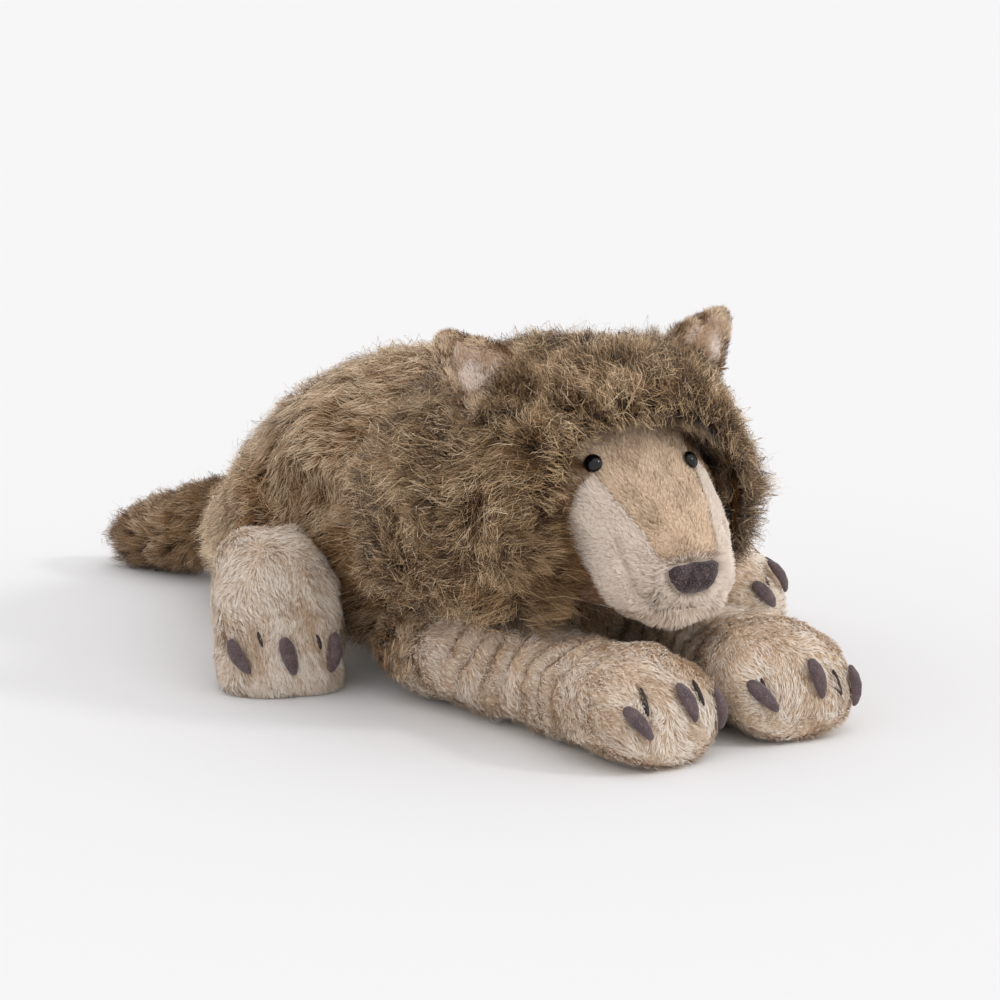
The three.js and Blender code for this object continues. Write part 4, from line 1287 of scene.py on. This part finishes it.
class WOLF_OT_legs(bpy.types.Operator):
    """Builds the four legs of short pile, with their gathers, toe creases and thread"""

    bl_idname = "wolf.legs"
    bl_label = "Legs"

    def execute(self, context):
        pile, trim = settings().leg_pile, settings().trim
        backing = backing_material("knitted_backing_beige", pile.roots, pile.body, *LEG_KNIT)
        colours = (pile.roots, pile.shade, pile.body, pile.tips)
        fur = pile_material("medium_plush_pile_beige", *colours, top=0.7)
        thread = thread_and_crease_shade_material("waxed_thread_and_crease_shade", trim.thread)
        self.claws(trim)
        for seed, body in enumerate((*FRONT_LEGS, *HIND_LEGS)):
            nodes = (f"{body}_cover", f"{body}_stuffing")
            skin = soft_form(f"{body}_skin", nodes, backing, 3 * MM, 4 * MM, rounds=8, body=body)
            self.shape(skin, body, trim)
            soft(skin, body, nodes)
            for index, path in enumerate(TOE_SLOTS[body]):
                self.stitch(f"{body}_thread_{index + 1}", skin, body, path, thread)
            paw, hip = paw_of(body), joint_of(body)

            def comb(places, body=body, paw=paw, hip=hip):
                if body == "hind_leg_right":
                    way = np.array([0, -0.35, -0.9])
                else:
                    way = (paw - hip) * (1, 1, 0)
                    way = way / np.linalg.norm(way) + np.array([0, 0, -0.25])
                return way + 0.5 * waves(places, 28 * MM, 51, 3)

            def tone(places, body=body, paw=paw):
                """Darker in the gathers and between the toes, as painted shade, and in patches that are
                strongest on the paw.
                """
                near = np.exp(-(((places - paw) / 0.06) ** 2).sum(1))
                spots = 0.2 * waves(places, 24 * MM, 52)[:, 0] + 0.16 * waves(places, 9 * MM, 53)[:, 0]
                folds = self.gathers(places, body, trim)
                toes = sum(crease(places, path, 12 * MM) for path in TOE_SLOTS[body])
                return 0.86 + spots * (0.7 + near) - 0.16 * near - 0.42 * folds - 0.35 * toes

            draw = np.random.default_rng(500 + seed)
            plant(
                f"{body}_pile", skin, (body, "beige_pile"), PILE_COUNTS[body], draw, pile, comb, fur,
                8 * MM, partial(self.covered, body), tone=tone,
            )
            if body in FRONT_LEGS:
                self.hide_root(skin, body, np.random.default_rng(520 + seed))
        return {"FINISHED"}

    def gathers(self, places, body, trim):
        """How deep in a gather each place on a front leg is, from 0 to about 1."""
        if body not in FRONT_LEGS:
            return np.zeros(len(places))
        start = joint_of(body)
        way = (paw_of(body) - start) * (1, 1, 0)
        down = (places - start) @ (way / np.linalg.norm(way))
        phase = down - 0.25 * places[:, 2] + 4 * MM * waves(places, 45 * MM, 62)[:, 0]
        fold = 1 - np.abs(np.sin(math.pi * phase / trim.gather_pitch))
        where = smooth_step(down, 0.03, 0.07) * (1 - smooth_step(down, 0.19, 0.235))
        return fold**1.4 * where * (0.8 + 0.3 * waves(places, 40 * MM, 63)[:, 0])

    def hide_root(self, skin, body, draw):
        """Long pile of the back over the leg's root, which hangs forward over the short pile."""
        pile = settings().back_pile
        fur = bpy.data.materials["long_plush_pile_olive"]

        def keep(places, normals):
            fore = smooth_step(-places[:, 1], 0.150, 0.172)
            return (1 - fore) * smooth_step(places[:, 2], 22 * MM, 45 * MM) * (normals[:, 2] > -0.6)

        def comb(places):
            return np.array([0, -0.45, -0.7]) + 0.6 * waves(places, 26 * MM, 55, 3)

        plant(
            f"{body}_root_pile", skin, (body, "long_pile_back"), 7000, draw, pile, comb, fur, 8 * MM, keep,
            tone=patches(26 * MM, 56, 0.0, 0.6), reach=0.8, wild=0.3,
        )

    def covered(self, body, places, normals):
        """1 where the pile stands, and less in the toe creases and under the sole."""
        keep = np.where((normals[:, 2] < -0.8) & (places[:, 2] < 5 * MM), 0.1, 1.0)
        for path in TOE_SLOTS[body]:
            keep = keep * (1 - crease(places, path, 6 * MM))
        return np.clip(keep, 0, 1)

    def shape(self, skin, body, trim):
        """Lumps of filling, gathers across the front legs, and the toes drawn in by their stitches."""
        places, normals = coordinates(skin.data), normals_of(skin.data)
        rise = 1.1 * MM * waves(places, 30 * MM, 61)[:, 0]
        rise -= trim.gather_depth * self.gathers(places, body, trim)
        for path in TOE_SLOTS[body]:
            rise -= trim.slot_depth * crease(places, path, trim.slot_width)
            rise -= 2.4 * MM * crease(places, path, 20 * MM)
        places = places + normals * rise[:, None]
        places[:, 2] = np.maximum(places[:, 2], SKIN_FLOOR)
        set_coordinates(skin.data, places)

    def stitch(self, name, skin, body, path, material):
        """A lens of dark thread at the bottom of a toe crease; its dark is partly painted shade of the
        crease.
        """
        a, b = (Vector(path[i]) * MM for i in (0, -1))
        walls = tree_of([skin])
        middle, normal, _, _ = walls.find_nearest(Vector(path[1]) * MM)
        form = bmesh.new()
        bmesh.ops.create_uvsphere(form, u_segments=16, v_segments=12, radius=0.5)
        long = (b - a).normalized()
        side = long.cross(normal).normalized()
        up = side.cross(long).normalized()
        turn = Matrix((side, up, long)).transposed().to_4x4()
        size = Matrix.Diagonal((3.8 * MM, 5 * MM, (b - a).length * 0.55, 1))
        form.transform(Matrix.Translation(middle + normal * 2.4 * MM) @ turn @ size)
        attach(smooth_object(name, form, material), body)

    def lay(self, claw, degrees):
        """Plumps a claw and turns it on its toe, where it leans away from the paw's middle."""
        places = coordinates(claw.data)
        middle = places.mean(0)
        _, _, axes = np.linalg.svd(places - middle, full_matrices=False)
        plump = (places - middle) @ axes.T * (0.92, 1.28, 1.12)
        out = Vector(axes[2])
        if out.dot(Vector((-0.3, -0.8, 0.5))) < 0:
            out = -out
        turn = np.array(Matrix.Rotation(math.radians(degrees), 3, out))
        set_coordinates(claw.data, middle + (plump @ axes) @ turn.T)

    def claws(self, trim):
        suede = suede_material("imitation_suede_claw", trim.suede, trim.fuzz)
        for body in (*FRONT_LEGS, *HIND_LEGS):
            end, _, side = body.split("_")
            for toe in TOES:
                cad = f"{end}_{side}_claw_{toe}"
                claw = soft_form(f"{cad}_suede", (cad,), suede, 0.8 * MM, -0.3 * MM, rounds=6, body=body)
                self.lay(claw, CLAW_TURNS.get(cad, USUAL_TURN))
                soft(claw, body, (cad,))


class WOLF_OT_tail(bpy.types.Operator):
    """Builds the tail with its long pile"""

    bl_idname = "wolf.tail"
    bl_label = "Tail"

    def execute(self, context):
        pile = settings().back_pile
        backing = backing_material("knitted_backing_tail", pile.roots, pile.body, *LONG_KNIT)
        nodes = ("tail_cover", "tail_stuffing")
        tail = soft_form("tail_skin", nodes, backing, 3 * MM, 7 * MM, body="tail")
        soft(tail, "tail", nodes)
        colours = (pile.roots, pile.shade, pile.body, pile.tips)
        fur = pile_material("long_plush_pile_tail", *colours, foot=0.2)

        def comb(places):
            return np.array([-0.3, 0.9, -0.05]) + 0.3 * waves(places, 50 * MM, 71, 3)

        plant(
            "tail_pile", tail, ("tail", "long_pile_back"), 24000, np.random.default_rng(601), pile, comb,
            fur, tone=patches(30 * MM, 72, 0.05, 0.6), wild=0.3,
        )
        return {"FINISHED"}


class WOLF_OT_stage(bpy.types.Operator):
    """Builds the pale floor, the soft light and the camera"""

    bl_idname = "wolf.stage"
    bl_label = "Floor, light and camera"

    def execute(self, context):
        scene, studio = context.scene, settings().studio
        scene.view_settings.view_transform = "Standard"

        form = bmesh.new()
        bmesh.ops.create_grid(form, x_segments=4, y_segments=4, size=30)
        mesh = bpy.data.meshes.new("floor")
        form.to_mesh(mesh)
        form.free()
        # Seamless paper: matt, with a tooth too fine to show from here
        paper, _ = new_material("seamless_paper")
        matt = {"Base Color": opaque(studio.backdrop), "Roughness": 1.0, "Specular IOR Level": 0.0}
        add_object("floor", mesh, finished(paper, matt))

        # The camera and reflections see the backdrop, and all else is lit by the ambient light
        world = bpy.data.worlds.new("studio")
        world.use_nodes = True
        tree = world.node_tree
        tree.nodes.clear()
        rays = node(tree, "ShaderNodeLightPath").outputs
        seen = rays["Is Camera Ray"]
        for kind in ("Is Glossy Ray", "Is Transmission Ray"):
            seen = node(tree, "ShaderNodeMath", {0: seen, 1: rays[kind]}, operation="MAXIMUM").outputs[0]
        inputs = {"Color": opaque(linear("#fefdff")), "Strength": studio.ambient}
        light = node(tree, "ShaderNodeBackground", inputs).outputs[0]
        inputs = {"Color": opaque(studio.backdrop), "Strength": 1.0}
        shown = node(tree, "ShaderNodeBackground", inputs).outputs[0]
        both = node(tree, "ShaderNodeMixShader", {0: seen, 1: light, 2: shown})
        node(tree, "ShaderNodeOutputWorld", {"Surface": both.outputs[0]})
        scene.world = world

        soft_lamp = self.lamp("soft_lamp", studio.lamp, 50, (0.12, -0.55, 1.15))
        soft_lamp.color = linear("#fffefa")
        self.lamp("glint_lamp", studio.glint, 9, EYE_WAY)

        lens = bpy.data.cameras.new("camera")
        lens.sensor_width, lens.lens = 36.0, 151.2
        lens.clip_start, lens.clip_end = 0.05, 100
        scene.camera = self.aimed("camera", lens, (-0.57385, -0.78984, 0.21644))
        scene.camera.location = (-2.04054, -2.85312, 0.90227)
        return {"FINISHED"}

    def aimed(self, name, data, back):
        """A lamp or camera that looks away from the way back."""
        made = bpy.data.objects.new(name, data)
        made.rotation_mode = "QUATERNION"
        made.rotation_quaternion = Vector(back).to_track_quat("Z", "Y")
        bpy.context.scene.collection.objects.link(made)
        return made

    def lamp(self, name, energy, degrees, back):
        """A sun that is some degrees wide, and its data."""
        sun = bpy.data.lights.new(name, "SUN")
        sun.energy, sun.angle = energy, math.radians(degrees)
        self.aimed(name, sun, back)
        return sun


GROUPS = (
    ("back_pile", BackPile),
    ("mane_pile", ManePile),
    ("leg_pile", LegPile),
    ("face_pile", FacePile),
    ("trim", Trim),
    ("studio", Studio),
)
OPERATORS = (
    WOLF_OT_stage,
    WOLF_OT_back,
    WOLF_OT_neck,
    WOLF_OT_mane,
    WOLF_OT_eyes,
    WOLF_OT_nose,
    WOLF_OT_face,
    WOLF_OT_fringe,
    WOLF_OT_ears,
    WOLF_OT_legs,
    WOLF_OT_tail,
)


class WOLF_PT_panel(bpy.types.Panel):
    """The wolf's pieces and their settings"""

    bl_idname = "WOLF_PT_panel"
    bl_label = "Plush wolf"
    bl_space_type = "VIEW_3D"
    bl_region_type = "UI"
    bl_category = "Plush wolf"

    def draw(self, context):
        for name, group in GROUPS:
            box = self.layout.box()
            box.label(text=name.replace("_", " ").capitalize())
            for key in group.__annotations__:
                box.prop(getattr(context.scene, name), key)
        for operator in OPERATORS:
            self.layout.operator(operator.bl_idname)


CLASSES = (*(group for _, group in GROUPS), *OPERATORS, WOLF_PT_panel)


def register():
    for kind in CLASSES:
        bpy.utils.register_class(kind)
    for name, group in GROUPS:
        setattr(bpy.types.Scene, name, bpy.props.PointerProperty(type=group))


def unregister():
    for name, _ in GROUPS:
        delattr(bpy.types.Scene, name)
    for kind in reversed(CLASSES):
        bpy.utils.unregister_class(kind)


def main():
    register()
    bpy.ops.wolf.stage()
    bpy.ops.wolf.back()
    bpy.ops.wolf.neck()
    bpy.ops.wolf.mane()
    bpy.ops.wolf.eyes()
    bpy.ops.wolf.nose()
    bpy.ops.wolf.face()
    bpy.ops.wolf.fringe()
    bpy.ops.wolf.ears()
    bpy.ops.wolf.legs()
    bpy.ops.wolf.tail()


if __name__ == "__main__":
    main()
